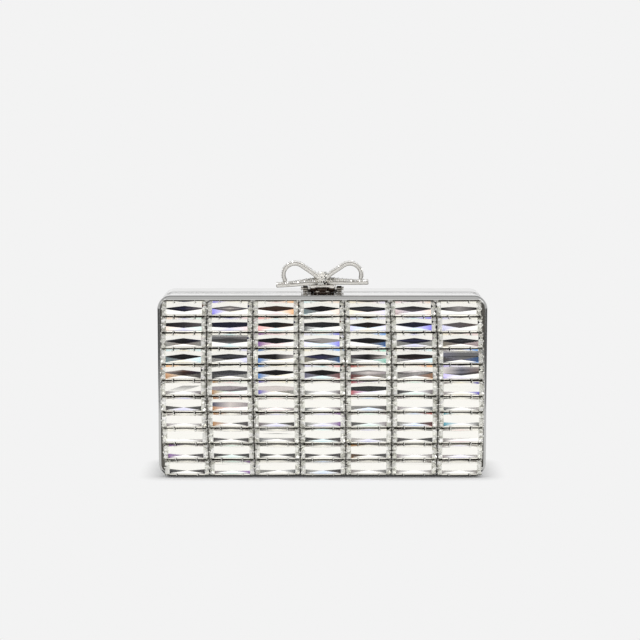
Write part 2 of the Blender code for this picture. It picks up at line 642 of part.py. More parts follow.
def make_lever_saddle(name):
    """Block under the bow, on a sleeve round the clasp pin, with a bay for the spring."""
    saddle = block(name, (-SADDLE_HALF_WIDTH, CLASP_Y - SADDLE_FRONT, CASE_HEIGHT + SADDLE_UNDERSIDE),
                   (SADDLE_HALF_WIDTH, CLASP_Y + SADDLE_BACK, CASE_HEIGHT + SADDLE_TOP))
    sleeve = rod(f"{name}_sleeve", SADDLE_SLEEVE_RADIUS, (-SADDLE_HALF_WIDTH, CLASP_Y, CLASP_Z),
                 (SADDLE_HALF_WIDTH, CLASP_Y, CLASP_Z))
    combine(saddle, sleeve, 'UNION')
    bay = rod(f"{name}_spring_bay", SPRING_BAY_RADIUS, (-SPRING_BAY_HALF_WIDTH, CLASP_Y, CLASP_Z),
              (SPRING_BAY_HALF_WIDTH, CLASP_Y, CLASP_Z))
    combine(saddle, bay, 'DIFFERENCE')
    combine(saddle, clasp_bore(f"{name}_bore"), 'DIFFERENCE')
    hole = rod(f"{name}_rivet_hole", SMALL_RIVET_RADIUS + CLEARANCE,
               (0, TONGUE_RIVET_Y, CASE_HEIGHT),
               (0, TONGUE_RIVET_Y, CASE_HEIGHT + SADDLE_UNDERSIDE + TONGUE_RIVET_BITE))
    return combine(saddle, hole, 'DIFFERENCE')


def tail_height(tip_height, x):
    """Height of a tail's middle above the case, at a distance from the bow's centre."""
    root_x = KNOT_HALF_WIDTH + CLEARANCE
    share = (x - root_x) / (TAIL_REACH - root_x)
    return TAIL_ROOT_HEIGHT + (tip_height - TAIL_ROOT_HEIGHT) * share


def make_bow_post(name, side, tip_height):
    """Ear beside the saddle: round about the clasp pin and reaching up to the tail."""
    inner = side * POST_INNER_X
    outer = side * POST_OUTER_X
    tail_underside = tail_height(tip_height, POST_OUTER_X) - RIBBON_THICKNESS / 2
    top_z = CASE_HEIGHT + tail_underside - CLEARANCE
    post = block(name, (min(inner, outer), CLASP_Y - POST_HALF_DEPTH, CLASP_Z),
                 (max(inner, outer), CLASP_Y + POST_HALF_DEPTH, top_z))
    foot = rod(f"{name}_foot", POST_HALF_DEPTH, (inner, CLASP_Y, CLASP_Z), (outer, CLASP_Y, CLASP_Z),
               BARREL_SIDES)
    combine(post, foot, 'UNION')
    return combine(post, clasp_bore(f"{name}_bore"), 'DIFFERENCE')


def loop_end_angle(tip_height):
    """Angle on the loop's arc where the ribbon comes down onto its tail."""
    rest_height = tail_height(tip_height, LOOP_CENTRE_X + LOOP_RADIUS) + RIBBON_THICKNESS / 2
    end_height = rest_height + CLEARANCE + RIBBON_THICKNESS / 2
    return math.asin((end_height - LOOP_CENTRE_HEIGHT) / LOOP_RADIUS)


def make_bow_loop(name, side, tip_height):
    """Ribbon from the knot up a straight arm, round the loop and down to the tail."""
    centre = Vector((LOOP_CENTRE_X, LOOP_CENTRE_HEIGHT))
    start = Vector((KNOT_HALF_WIDTH + CLEARANCE + RIBBON_THICKNESS / 2, LOOP_ARM_HEIGHT))
    to_centre = centre - start
    rise = math.atan2(to_centre.y, to_centre.x) + math.asin(LOOP_RADIUS / to_centre.length)
    first_angle = rise + math.pi / 2
    last_angle = loop_end_angle(tip_height)
    points = [start]
    for step in range(LOOP_ARC_STEPS + 1):
        angle = first_angle + (last_angle - first_angle) * step / LOOP_ARC_STEPS
        points.append(centre + LOOP_RADIUS * Vector((math.cos(angle), math.sin(angle))))
    middle_y = (RIBBON_FRONT_Y + RIBBON_BACK_Y) / 2
    path = [(side * point.x, middle_y, CASE_HEIGHT + point.y) for point in points]
    return strip(name, path, (0, RIBBON_WIDTH, 0), RIBBON_THICKNESS)


def make_bow_tail(name, side, tip_height):
    root_x = KNOT_HALF_WIDTH + CLEARANCE
    middle_y = (RIBBON_FRONT_Y + RIBBON_BACK_Y) / 2
    path = []
    for step in range(TAIL_STEPS + 1):
        x = root_x + (TAIL_REACH - root_x) * step / TAIL_STEPS
        path.append((side * x, middle_y, CASE_HEIGHT + tail_height(tip_height, x)))
    return strip(name, path, (0, RIBBON_WIDTH, 0), RIBBON_THICKNESS)


def make_bow_knot(name):
    """Wrapped middle of the bow, a little proud of the ribbons in front and behind."""
    knot = block(name, (-KNOT_HALF_WIDTH, RIBBON_FRONT_Y - KNOT_PROUD, KNOT_BOTTOM_Z),
                 (KNOT_HALF_WIDTH, RIBBON_BACK_Y + KNOT_PROUD, KNOT_BOTTOM_Z + KNOT_HEIGHT))
    rounding = knot.modifiers.new("rounding", 'BEVEL')
    rounding.width = KNOT_ROUND
    rounding.segments = EDGE_SEGMENTS
    rounding.limit_method = 'NONE'
    return knot


# Latch

TONGUE_TOP = SADDLE_UNDERSIDE - CLEARANCE
TONGUE_LEVEL = TONGUE_TOP - TONGUE_THICKNESS / 2
TONGUE_NOSE_Y = CLASP_Y - TONGUE_REACH
TONGUE_RIVET_Y = CLASP_Y - TONGUE_RIVET_REACH
STRIKER_PLATE_Z = CASE_HEIGHT + CLEARANCE
STRIKER_TOP_Z = STRIKER_PLATE_Z + STRIKER_THICKNESS


def make_latch_tongue(name):
    """Leaf spring under the saddle whose bent nose drops in front of the striker's bar."""
    root_y = CLASP_Y - SADDLE_SLEEVE_RADIUS - CLEARANCE
    profile = [(root_y, TONGUE_LEVEL),
               (TONGUE_NOSE_Y + TONGUE_BEND_LENGTH, TONGUE_LEVEL),
               (TONGUE_NOSE_Y + TONGUE_NOSE_SLANT, TONGUE_LEVEL - TONGUE_BEND_DROP),
               (TONGUE_NOSE_Y, TONGUE_LEVEL - TONGUE_BEND_DROP - TONGUE_NOSE_SLANT),
               (TONGUE_NOSE_Y, -TONGUE_NOSE_DEPTH)]
    path = [(0, y, CASE_HEIGHT + height) for y, height in profile]
    tongue = strip(name, path, (TONGUE_WIDTH, 0, 0), TONGUE_THICKNESS)
    hole = rivet_hole(f"{name}_rivet_hole", 0, TONGUE_RIVET_Y, CASE_HEIGHT,
                      CASE_HEIGHT + SADDLE_TOP, SMALL_RIVET_RADIUS)
    return combine(tongue, hole, 'DIFFERENCE')


def make_tongue_rivet(name):
    head_top = CASE_HEIGHT + TONGUE_TOP - TONGUE_THICKNESS - CLEARANCE
    tail_z = CASE_HEIGHT + SADDLE_UNDERSIDE + TONGUE_RIVET_BITE - CLEARANCE
    return rivet(name, 0, TONGUE_RIVET_Y, head_top, tail_z, SMALL_RIVET_RADIUS,
                 SMALL_RIVET_HEAD_RADIUS, SMALL_RIVET_HEAD)


def striker_slot(name):
    """Hole for the latch nose through the striker plate and the top wall."""
    half_width = TONGUE_WIDTH / 2 + STRIKER_SLOT_SIDE
    half_tongue = TONGUE_THICKNESS / 2
    return block(name,
                 (-half_width, TONGUE_NOSE_Y - half_tongue - STRIKER_SLOT_FAR,
                  CASE_HEIGHT - WALL - CUT_OVERRUN),
                 (half_width, TONGUE_NOSE_Y + half_tongue + STRIKER_SLOT_NEAR,
                  STRIKER_TOP_Z + CUT_OVERRUN))


def make_striker_plate(name, slot):
    plate = block(name, (-STRIKER_WIDTH / 2, PARTING_Y - STRIKER_FAR_EDGE, STRIKER_PLATE_Z),
                  (STRIKER_WIDTH / 2, PARTING_Y - STRIKER_NEAR_EDGE, STRIKER_TOP_Z))
    return combine(plate, slot, 'DIFFERENCE')


# Spring round the clasp pin

def spring_route():
    """Points of the wire: a leg down to the case, the turns, and a leg that pushes the lever."""
    start_angle = math.radians(SPRING_START_DEGREES)
    sweep = 2 * math.pi * SPRING_WHOLE_TURNS + math.pi / 2 - start_angle
    steps = round(sweep / (2 * math.pi) * SPRING_POINTS_PER_TURN)
    length = sweep / (2 * math.pi) * SPRING_PITCH
    turns = []
    for step in range(steps + 1):
        share = step / steps
        angle = start_angle + sweep * share
        turns.append(Vector((-length / 2 + length * share,
                             CLASP_Y + SPRING_COIL_RADIUS * math.cos(angle),
                             CLASP_Z + SPRING_COIL_RADIUS * math.sin(angle))))
    backwards = Vector((0, math.sin(start_angle), -math.cos(start_angle)))
    fixed_end = turns[0] + SPRING_FIXED_LEG * backwards
    moving_end = turns[-1] - Vector((0, SPRING_MOVING_LEG, 0))
    return [fixed_end] + turns + [moving_end]


def least_gap(points, radius):
    """Smallest space between stretches of the wire that lie half a turn or more apart."""
    apart = SPRING_POINTS_PER_TURN // 2
    pairs = ((a, b) for i, a in enumerate(points) for b in points[i + apart:])
    return min((a - b).length for a, b in pairs) - 2 * radius


def make_clasp_spring(name):
    route = spring_route()
    print(f"least gap of the spring's wire to itself: {least_gap(route, SPRING_WIRE_RADIUS)} m")
    curve = bpy.data.curves.new(name, 'CURVE')
    curve.dimensions = '3D'
    curve.bevel_depth = SPRING_WIRE_RADIUS
    curve.bevel_resolution = 1
    curve.use_fill_caps = True
    spline = curve.splines.new('POLY')
    spline.points.add(len(route) - 1)
    for point, place in zip(spline.points, route):
        point.co = (*place, 1.0)
    wire = bpy.data.objects.new(f"{name}_wire", curve)
    CUTTERS.objects.link(wire)
    evaluated = wire.evaluated_get(bpy.context.evaluated_depsgraph_get())
    bm = bmesh.new()
    bm.from_mesh(bpy.data.meshes.new_from_object(evaluated))
    bmesh.ops.remove_doubles(bm, verts=bm.verts, dist=SPRING_WIRE_RADIUS / 100)
    bpy.data.objects.remove(wire)
    return finish_mesh(name, bm)


def build_front_half(pivot):
    seam_y = PARTING_Y - CLEARANCE / 2
    bezel_back = FRONT_Y + BEZEL_DEPTH
    rim = make_rim("front_rim", bezel_back + CLEARANCE, seam_y, 1)
    slot = striker_slot("striker_slot")
    combine(rim, slot, 'DIFFERENCE')
    add_part(rim, CHROME, pivot)
    add_part(make_bezel("front_bezel", FRONT_Y, bezel_back, -1), CHROME, pivot)
    plate = rounded_block("front_stone_plate", grid_outline(0), PLATE_FRONT_Y,
                          PLATE_FRONT_Y + PLATE_THICKNESS)
    add_part(plate, GUNMETAL, pivot)
    for index in range(STONE_COLUMNS):
        add_part(make_claw_frame(index), GUNMETAL, pivot)
        add_part(make_crystal_column(index), CRYSTAL, pivot)
    mouth = PARTING_Y - HINGE_BARREL_RADIUS - 2 * CLEARANCE
    add_part(make_lining("front_lining", bezel_back + CLEARANCE, mouth, 1), SATIN, pivot)
    leaf = make_hinge_leaf("front_hinge_leaf", -1, 1)
    add_part(leaf, CHROME, pivot)
    add_hinge_rivets("front_hinge", -1, leaf, rim, pivot)
    striker = make_striker_plate("striker_plate", slot)
    add_part(striker, SPRING_STEEL, pivot)
    add_top_rivets("striker_rivet", STRIKER_RIVET_SPREAD / 2,
                   PARTING_Y - STRIKER_FAR_EDGE + STRIKER_RIVET_EDGE, STRIKER_TOP_Z, striker, rim,
                   pivot)


def build_back_half():
    seam_y = PARTING_Y + CLEARANCE / 2
    bezel_front = BACK_Y - BEZEL_DEPTH
    rim = make_rim("back_rim", seam_y, bezel_front - CLEARANCE, -1)
    add_part(rim, CHROME)
    add_part(make_bezel("back_bezel", bezel_front, BACK_Y, 1), CHROME)
    cover = rounded_block("back_cover", grid_outline(0), BACK_Y - COVER_THICKNESS, BACK_Y)
    add_part(cover, CHROME)
    mouth = PARTING_Y + LIP_ROOT + CLEARANCE
    add_part(make_lining("back_lining", mouth, bezel_front - CLEARANCE, -1), SATIN)
    add_part(make_rim_lip("rim_lip"), CHROME)
    leaf = make_hinge_leaf("back_hinge_leaf", 1, 0)
    add_part(leaf, CHROME)
    add_hinge_rivets("back_hinge", 1, leaf, rim, None)
    pin = rod("hinge_pin", HINGE_PIN_RADIUS, (-HINGE_LENGTH / 2, PARTING_Y, HINGE_Z),
              (HINGE_LENGTH / 2, PARTING_Y, HINGE_Z))
    add_part(pin, CHROME)
    base = make_clasp_base("clasp_base")
    add_part(base, BOW_METAL)
    add_part(make_clasp_pin("clasp_pin"), BOW_METAL)
    add_top_rivets("clasp_rivet", CLASP_RIVET_X, CLASP_Y + CLASP_RIVET_SETBACK,
                   CLASP_PLATE_Z + CLASP_PLATE_THICKNESS, base, rim, None)


def build_bow_lever(pivot):
    add_part(make_lever_saddle("lever_saddle"), BOW_METAL, pivot)
    sides = (("left", -1, LEFT_TAIL_TIP_HEIGHT), ("right", 1, RIGHT_TAIL_TIP_HEIGHT))
    for label, side, tip_height in sides:
        add_part(make_bow_post(f"bow_post_{label}", side, tip_height), BOW_METAL, pivot)
        add_part(make_bow_tail(f"bow_tail_{label}", side, tip_height), BOW_METAL, pivot)
        add_part(make_bow_loop(f"bow_loop_{label}", side, tip_height), BOW_METAL, pivot)
    add_part(make_bow_knot("bow_knot"), BOW_METAL, pivot)
    add_part(make_latch_tongue("latch_tongue"), SPRING_STEEL, pivot)
    add_part(make_tongue_rivet("tongue_rivet"), BOW_METAL, pivot)
    add_part(make_clasp_spring("clasp_spring"), SPRING_STEEL, pivot)


build_front_half(make_pivot("front_half_pivot", (0, PARTING_Y, HINGE_Z)))
build_back_half()
build_bow_lever(make_pivot("bow_lever_pivot", (0, CLASP_Y, CLASP_Z)))
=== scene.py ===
# %% [markdown]
# # A crystal box clutch with a bow clasp
#
# The real object is a hard evening case of polished silver plate. Rows of rectangular crystals
# stand in claw settings on its front, and a bow set with small stones is the lever of its
# clasp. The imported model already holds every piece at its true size, so this lesson dresses
# it: each form that shows is modelled again with fine edges, and each surface gets a finish.

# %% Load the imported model
import math
import random

import bpy
import bmesh
from mathutils import Matrix, Vector
from mathutils.geometry import interpolate_bezier


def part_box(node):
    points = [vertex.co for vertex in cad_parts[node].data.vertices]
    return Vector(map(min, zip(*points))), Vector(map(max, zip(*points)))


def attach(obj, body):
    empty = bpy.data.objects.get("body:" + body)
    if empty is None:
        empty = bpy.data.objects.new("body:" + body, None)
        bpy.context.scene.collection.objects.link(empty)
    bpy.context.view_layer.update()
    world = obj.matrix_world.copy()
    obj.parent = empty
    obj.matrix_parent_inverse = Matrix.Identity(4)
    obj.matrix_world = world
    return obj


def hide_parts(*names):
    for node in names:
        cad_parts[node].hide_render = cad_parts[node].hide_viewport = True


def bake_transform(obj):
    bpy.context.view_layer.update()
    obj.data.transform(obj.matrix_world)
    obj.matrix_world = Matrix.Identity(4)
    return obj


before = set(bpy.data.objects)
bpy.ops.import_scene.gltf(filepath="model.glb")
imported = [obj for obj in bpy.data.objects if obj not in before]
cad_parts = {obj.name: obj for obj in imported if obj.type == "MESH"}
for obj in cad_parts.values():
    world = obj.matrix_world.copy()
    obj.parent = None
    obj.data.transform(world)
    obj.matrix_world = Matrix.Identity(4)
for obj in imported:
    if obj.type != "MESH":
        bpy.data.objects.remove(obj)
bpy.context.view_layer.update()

MM = 0.001

# %% [markdown]
# ## The camera
#
# A camera is easiest to match when it is worked out and not dragged about. The case is
# 180 mm wide and fills 328 of 640 pixels, and its back looks 3.5 % smaller than its front.
# Both together give a long lens about a metre away. The top face shows as a thin band, which
# gives the camera's height. No lens shift is needed, because the lens looks above the case.

# %% Place the camera
FRONT_FACE_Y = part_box("front_bezel")[0].y
CAMERA_DISTANCE = 1062 * MM
CAMERA_HEIGHT = 210.6 * MM
CAMERA_LEFT = 1.3 * MM
CAMERA_DOWN_DEGREES = 6.645
FOCAL_PIXELS = 1963
IMAGE_PIXELS = 640
SENSOR_MM = 36


def link_to_scene(name, data):
    """Give a mesh, a lamp or a camera its object."""
    made = bpy.data.objects.new(name, data)
    bpy.context.scene.collection.objects.link(made)
    return made


camera_data = bpy.data.cameras.new("camera")
camera_data.sensor_width = SENSOR_MM
camera_data.lens = SENSOR_MM * FOCAL_PIXELS / IMAGE_PIXELS
camera = link_to_scene("camera", camera_data)
camera.location = (-CAMERA_LEFT, FRONT_FACE_Y - CAMERA_DISTANCE, CAMERA_HEIGHT)
camera.rotation_euler = (math.radians(90 - CAMERA_DOWN_DEGREES), 0, 0)
bpy.context.scene.camera = camera
bpy.context.scene.view_settings.view_transform = 'Standard'
print("lens in mm:", round(camera_data.lens, 1))

# %% [markdown]
# ## Helpers for meshes and nodes
#
# A material is a tree of nodes. These helpers keep such trees short: they add a node and set
# its inputs by name, do sums with sockets as with plain numbers, and blend by a mask. Every
# mesh starts as a bmesh, which is freed as soon as its mesh is made.

# %% Helpers for meshes and nodes
def make_mesh(name, bm, materials=()):
    """Turn a bmesh into a mesh with its materials, and free it."""
    mesh = bpy.data.meshes.new(name)
    bm.to_mesh(mesh)
    bm.free()
    for material in materials:
        mesh.materials.append(material)
    return mesh


def set_inputs(node, values):
    """Set inputs of a node by name, with _ for a space."""
    for name, value in values.items():
        node.inputs[name.replace("_", " ")].default_value = value
    return node


def add_node(tree, kind, **values):
    return set_inputs(tree.nodes.new(kind), values)


def start_material(name, colour, metallic, roughness, **values):
    """A material with its node tree and its Principled shader, in plain values."""
    material = bpy.data.materials.new(name)
    material.use_nodes = True
    tree = material.node_tree
    values.update(Base_Color=(*colour, 1), Metallic=metallic, Roughness=roughness)
    return material, tree, set_inputs(tree.nodes["Principled BSDF"], values)


def add_math(tree, operation, first, second=0.0):
    """Add a Math node whose inputs are sockets or numbers, and return its output."""
    node = tree.nodes.new('ShaderNodeMath')
    node.operation = operation
    for socket, value in zip(node.inputs, (first, second)):
        if isinstance(value, bpy.types.NodeSocket):
            tree.links.new(value, socket)
        else:
            socket.default_value = value
    return node.outputs[0]


def add_sum(tree, *terms):
    """Add up values, each times its own share."""
    total = 0.0
    for value, share in terms:
        total = add_math(tree, 'ADD', add_math(tree, 'MULTIPLY', value, share), total)
    return total


def add_range(tree, value, low, high, to_low=0.0, to_high=1.0, kind='LINEAR'):
    """Add a Map Range node and return its output."""
    node = add_node(tree, 'ShaderNodeMapRange', From_Min=low, From_Max=high, To_Min=to_low,
                    To_Max=to_high)
    node.interpolation_type = kind
    tree.links.new(value, node.inputs["Value"])
    return node.outputs["Result"]


def add_blend(tree, share, low, high):
    """Blend two numbers or sockets by a mask."""
    return add_sum(tree, (low, add_math(tree, 'SUBTRACT', 1.0, share)), (high, share))


def split_place(tree, output):
    """X, Y and Z of a place or direction."""
    place = tree.nodes.new('ShaderNodeTexCoord')
    parts = tree.nodes.new('ShaderNodeSeparateXYZ')
    tree.links.new(place.outputs[output], parts.inputs[0])
    return parts.outputs[:]


print("mesh and node helpers ready")

# %% [markdown]
# ## Air
#
# Polished metal has no colour of its own: it shows the room. A studio therefore puts pale
# paper behind and under the case and keeps the room in front dim, so that every rounded edge
# runs from light to dark. Here the air does that work. It is plain for the camera, and for
# mirrors it follows a ramp that runs from the front, over the top, to the back.

# %% Light the room
PALE = 0.896
STUDIO_LIGHT = 0.80
SIDE_LIGHT = 0.75
SIDE_REACH = (0.3, 0.75)
ROOM_TONES = ((0, 0.18), (12, 0.20), (24, 0.50), (34, 0.80), (66, 0.82), (98, 0.80),
              (114, 0.74), (126, 0.34), (158, 0.30), (166, PALE), (180, PALE))


def add_room_tones(tree):
    """Brightness of the room by its angle from the front, over the top, to the back."""
    x, y, z = split_place(tree, "Generated")
    angle = add_math(tree, 'ARCTAN2', z, add_math(tree, 'MULTIPLY', y, -1.0))
    ramp = tree.nodes.new('ShaderNodeValToRGB')
    tree.links.new(add_math(tree, 'DIVIDE', angle, math.pi), ramp.inputs["Fac"])
    stops = ramp.color_ramp.elements
    while len(stops) < len(ROOM_TONES):
        stops.new(0.5)
    for stop, (degrees, tone) in zip(stops, ROOM_TONES):
        stop.position = degrees / 180
        stop.color = (tone, tone, tone, 1)
    sideways = add_range(tree, add_math(tree, 'ABSOLUTE', x), *SIDE_REACH)
    return add_blend(tree, sideways, ramp.outputs["Color"], SIDE_LIGHT)


def build_world():
    """Air that is plain for the camera and as a light, and a room for mirrors."""
    world = bpy.data.worlds.new("studio_air")
    bpy.context.scene.world = world
    world.use_nodes = True
    tree = world.node_tree
    background = set_inputs(tree.nodes["Background"], {"Color": (1, 1, 1, 1)})
    rays = tree.nodes.new('ShaderNodeLightPath').outputs
    mirrored = add_math(tree, 'MAXIMUM', rays["Is Glossy Ray"], rays["Is Transmission Ray"])
    light = add_blend(tree, rays["Is Camera Ray"], STUDIO_LIGHT, PALE)
    tree.links.new(add_blend(tree, mirrored, light, add_room_tones(tree)),
                   background.inputs["Strength"])


build_world()
print("tones of the room:", len(ROOM_TONES))

# %% [markdown]
# ## Floor
#
# The case stands on pale paper, which takes its shadow. Farther off the paper glows as
# plainly as the air, so no horizon shows. A mask round the foot blends the two shaders, and
# no second picture has to be laid over the first.

# %% Lay the floor
FLOOR_RADIUS = 6.0
FLOOR_COLOUR = 0.80
FOOT_MIDDLE = (0.0, 1.9 * MM)
FOOT_HALF = (86 * MM, 19 * MM)
SHADOW_REACH = 17 * MM


def build_floor():
    """Pale disc that shows a shadow round the foot and glows as plainly as the air beyond."""
    material, tree, shader = start_material("floor_paper", (FLOOR_COLOUR,) * 3, 0, 0.9,
                                            Specular_IOR_Level=0)
    glow = add_node(tree, 'ShaderNodeEmission', Strength=PALE)
    squares = []
    for value, middle, half in zip(split_place(tree, "Object"), FOOT_MIDDLE, FOOT_HALF):
        away = add_math(tree, 'ABSOLUTE', add_math(tree, 'SUBTRACT', value, middle))
        beyond = add_math(tree, 'MAXIMUM', add_math(tree, 'SUBTRACT', away, half), 0.0)
        squares.append(add_math(tree, 'POWER', beyond, 2.0))
    distance = add_math(tree, 'SQRT', add_math(tree, 'ADD', *squares))
    far = add_range(tree, distance, 0.0, SHADOW_REACH, kind='SMOOTHSTEP')
    mix = tree.nodes.new('ShaderNodeMixShader')
    for source, socket in zip((far, shader.outputs[0], glow.outputs[0]), mix.inputs):
        tree.links.new(source, socket)
    tree.links.new(mix.outputs[0], tree.nodes["Material Output"].inputs["Surface"])
    bm = bmesh.new()
    bmesh.ops.create_circle(bm, cap_ends=True, segments=64, radius=FLOOR_RADIUS)
    link_to_scene("floor", make_mesh("floor", bm, [material]))


build_floor()
print("floor laid, radius in m:", FLOOR_RADIUS)

# %% [markdown]
# ## Lamps and cards
#
# Soft boxes light the stones. Cards over the floor give the metal something to mirror from
# below, as a photographer's white and black cards do. The dark card round the foot is painted
# shadow: the mirrors see it as the shade under the case. Both stay out of the camera's own
# view, and the cards neither light the case nor throw a shadow.

# %% Place lamps and cards
LAMP_AIM = Vector((0, 0, 0.05))
LAMPS = (("front_soft_box", (0, -1.75, 0.51), 1.2, 0.60, 1.0),
         ("left_soft_box", (-1.0, -0.85, 1.0), 0.7, 0.7, 1.8),
         ("right_soft_box", (1.0, -0.85, 1.0), 0.7, 0.7, 1.8))
CARD_HEIGHT = 2 * MM
CARDS = (("near_card", (-0.45, -0.40), (0.45, -0.03), CARD_HEIGHT, 0.96),
         ("front_card", (-0.28, -1.60), (0.28, -0.41), CARD_HEIGHT, 0.30),
         # Painted shadow for the mirrors: a dark card where the shade round the foot falls.
         ("foot_shadow_card", (-0.092, -0.0225), (0.092, -0.017), 0.2 * MM, 0.10),
         ("left_card", (-1.6, -0.9), (-0.30, 1.2), CARD_HEIGHT, 0.12),
         ("right_card", (0.30, -0.9), (1.6, 1.2), CARD_HEIGHT, 0.12))


def build_lamp(name, place, width, height, radiance):
    """Soft box that faces the case; its brightness is given as a mirror would show it."""
    lamp = bpy.data.lights.new(name, 'AREA')
    lamp.shape = 'RECTANGLE'
    lamp.size = width
    lamp.size_y = height
    lamp.energy = radiance * math.pi * width * height
    soft_box = link_to_scene(name, lamp)
    soft_box.location = place
    aim = LAMP_AIM - soft_box.location
    soft_box.rotation_euler = aim.to_track_quat('-Z', 'Y').to_euler()
    soft_box.visible_camera = False


def build_card(name, low, high, height, shade):
    """Card over the floor that only mirrors see: no camera, light or shadow meets it."""
    material = start_material(name, (0, 0, 0), 0, 1, Specular_IOR_Level=0,
                              Emission_Color=(1, 1, 1, 1), Emission_Strength=shade)[0]
    bm = bmesh.new()
    bmesh.ops.create_grid(bm, x_segments=1, y_segments=1, size=0.5)
    bmesh.ops.scale(bm, vec=(high[0] - low[0], high[1] - low[1], 1), verts=bm.verts)
    card = link_to_scene(name, make_mesh(name, bm, [material]))
    card.location = ((low[0] + high[0]) / 2, (low[1] + high[1]) / 2, height)
    card.visible_camera = False
    card.visible_diffuse = False
    card.visible_shadow = False


for lamp in LAMPS:
    build_lamp(*lamp)
for card in CARDS:
    build_card(*card)
print("studio:", len(LAMPS), "lamps,", len(CARDS), "cards")

# %% [markdown]
# ## Marks that several finishes share
#
# Handled plating is never a perfect mirror. It has hairline scratches that run in all
# directions, and cloudy patches where fingers have been. Both are worked out once in a node
# group, and each metal takes as much of them as suits it. Painting them by hand would need
# an image, and a procedure stays sharp at any distance.

# %% Node groups
SCRATCH_RARITY = 0.74
SCRATCH_SCALE = 75
SCRATCH_WAYS = (((15, 25, 10), (1, 1, 70)), ((-35, 10, 65), (1, 64, 1)),
                ((70, -20, 120), (58, 1, 1)))


def new_group(name, label, value, outputs):
    """Shader group with one number input and some number outputs, all named."""
    group = bpy.data.node_groups.new(name, 'ShaderNodeTree')
    socket = group.interface.new_socket(label, in_out='INPUT', socket_type='NodeSocketFloat')
    socket.default_value = value
    for output in outputs:
        group.interface.new_socket(output, in_out='OUTPUT', socket_type='NodeSocketFloat')
    start = group.nodes.new('NodeGroupInput')
    end = group.nodes.new('NodeGroupOutput')
    return group, start.outputs[label], end


def add_noise(tree, scale, detail, stretch=(1, 1, 1), turn=(0, 0, 0)):
    """Noise on the object's own place, drawn out along one axis."""
    place = tree.nodes.new('ShaderNodeTexCoord')
    mapping = add_node(tree, 'ShaderNodeMapping', Rotation=[math.radians(a) for a in turn],
                       Scale=stretch)
    tree.links.new(place.outputs["Object"], mapping.inputs["Vector"])
    noise = add_node(tree, 'ShaderNodeTexNoise', Scale=scale, Detail=detail)
    tree.links.new(mapping.outputs[0], noise.inputs["Vector"])
    return noise.outputs["Fac"]


def build_marks_group():
    """Hairline scratches and cloudy finger patches."""
    group, rarity, end = new_group("Handling_marks", "Rarity", SCRATCH_RARITY,
                                   ("Scratches", "Smudges"))
    total = 0.0
    for turn, stretch in SCRATCH_WAYS:
        noise = add_noise(group, SCRATCH_SCALE, 0, stretch, turn)
        line = add_math(group, 'GREATER_THAN', noise, rarity)
        total = add_math(group, 'MAXIMUM', line, total)
    group.links.new(total, end.inputs["Scratches"])
    cloud = add_range(group, add_noise(group, 38, 5), 0.42, 0.68)
    group.links.new(cloud, end.inputs["Smudges"])
    return group


def build_wear_group():
    """Mask of convex edges, where hands and tables rub."""
    group, amount, end = new_group("Edge_wear", "Amount", 1.0, ("Wear",))
    shape = group.nodes.new('ShaderNodeNewGeometry')
    edge = add_range(group, shape.outputs["Pointiness"], 0.52, 0.62)
    patchy = add_math(group, 'MULTIPLY', edge, add_noise(group, 160, 4))
    group.links.new(add_math(group, 'MULTIPLY', patchy, amount), end.inputs["Wear"])
    return group


MARKS = build_marks_group()
WEAR = build_wear_group()


def add_group(tree, group, **values):
    """Put a group into a material and return its outputs."""
    node = tree.nodes.new('ShaderNodeGroup')
    node.node_tree = group
    return set_inputs(node, values).outputs


print("groups:", MARKS.name, WEAR.name)

# %% [markdown]
# ## From a mask to a finish
#
# A mask is a number from 0 to 1 at every point of a surface. It can raise or sink the
# surface as bump, or choose between two colours or between two degrees of polish.

# %% Use a mask
def add_bump(tree, shader, height, distance, strength=1.0):
    bump = add_node(tree, 'ShaderNodeBump', Strength=strength, Distance=distance)
    tree.links.new(height, bump.inputs["Height"])
    tree.links.new(bump.outputs[0], shader.inputs["Normal"])


def mix_colour(tree, shader, factor, low, high):
    """Mix two colours by a mask into the shader's base colour."""
    mix = tree.nodes.new('ShaderNodeMix')
    mix.data_type = 'RGBA'
    tree.links.new(factor, mix.inputs["Factor"])
    sockets = [socket for socket in mix.inputs if socket.type == 'RGBA']
    for socket, colour in zip(sockets, (low, high)):
        socket.default_value = (*colour, 1)
    result = next(socket for socket in mix.outputs if socket.type == 'RGBA')
    tree.links.new(result, shader.inputs["Base Color"])


def spread_roughness(tree, shader, factor, low, high):
    """Let a mask choose the roughness between two numbers."""
    tree.links.new(add_range(tree, factor, 0.0, 1.0, low, high), shader.inputs["Roughness"])


print("a mask can drive bump, colour and roughness")

# %% [markdown]
# ## Metals
#
# The case is mirror-polished plate, the bow is warmer, and the back panel is brushed across
# its width. The frame round the stones, the inner side of the bow and the clasp knuckles take
# darker copies of the plate, which are painted shade, and the claws darken towards their roots
# as painted shade. All are Metallic 1 in Principled BSDF and differ in tone, roughness and fine
# bumps, as on the bench, where one sheet is polished and another drawn over an abrasive belt.
# Only the lacquered steel is not metallic.

# %% Metal finishes
def make_plating(name, colour, roughness, smudged, scratch_depth):
    """Plate that is dulled by smudges, by rubbed edges and a little by scratches."""
    material, tree, shader = start_material(name, colour, 1, roughness)
    marks = add_group(tree, MARKS)
    wear = add_group(tree, WEAR, Amount=0.5)
    dullness = add_sum(tree, (marks["Smudges"], 1.0), (wear["Wear"], 1.0),
                       (marks["Scratches"], 0.6))
    spread_roughness(tree, shader, dullness, roughness, roughness + smudged)
    add_bump(tree, shader, marks["Scratches"], -scratch_depth)
    return material


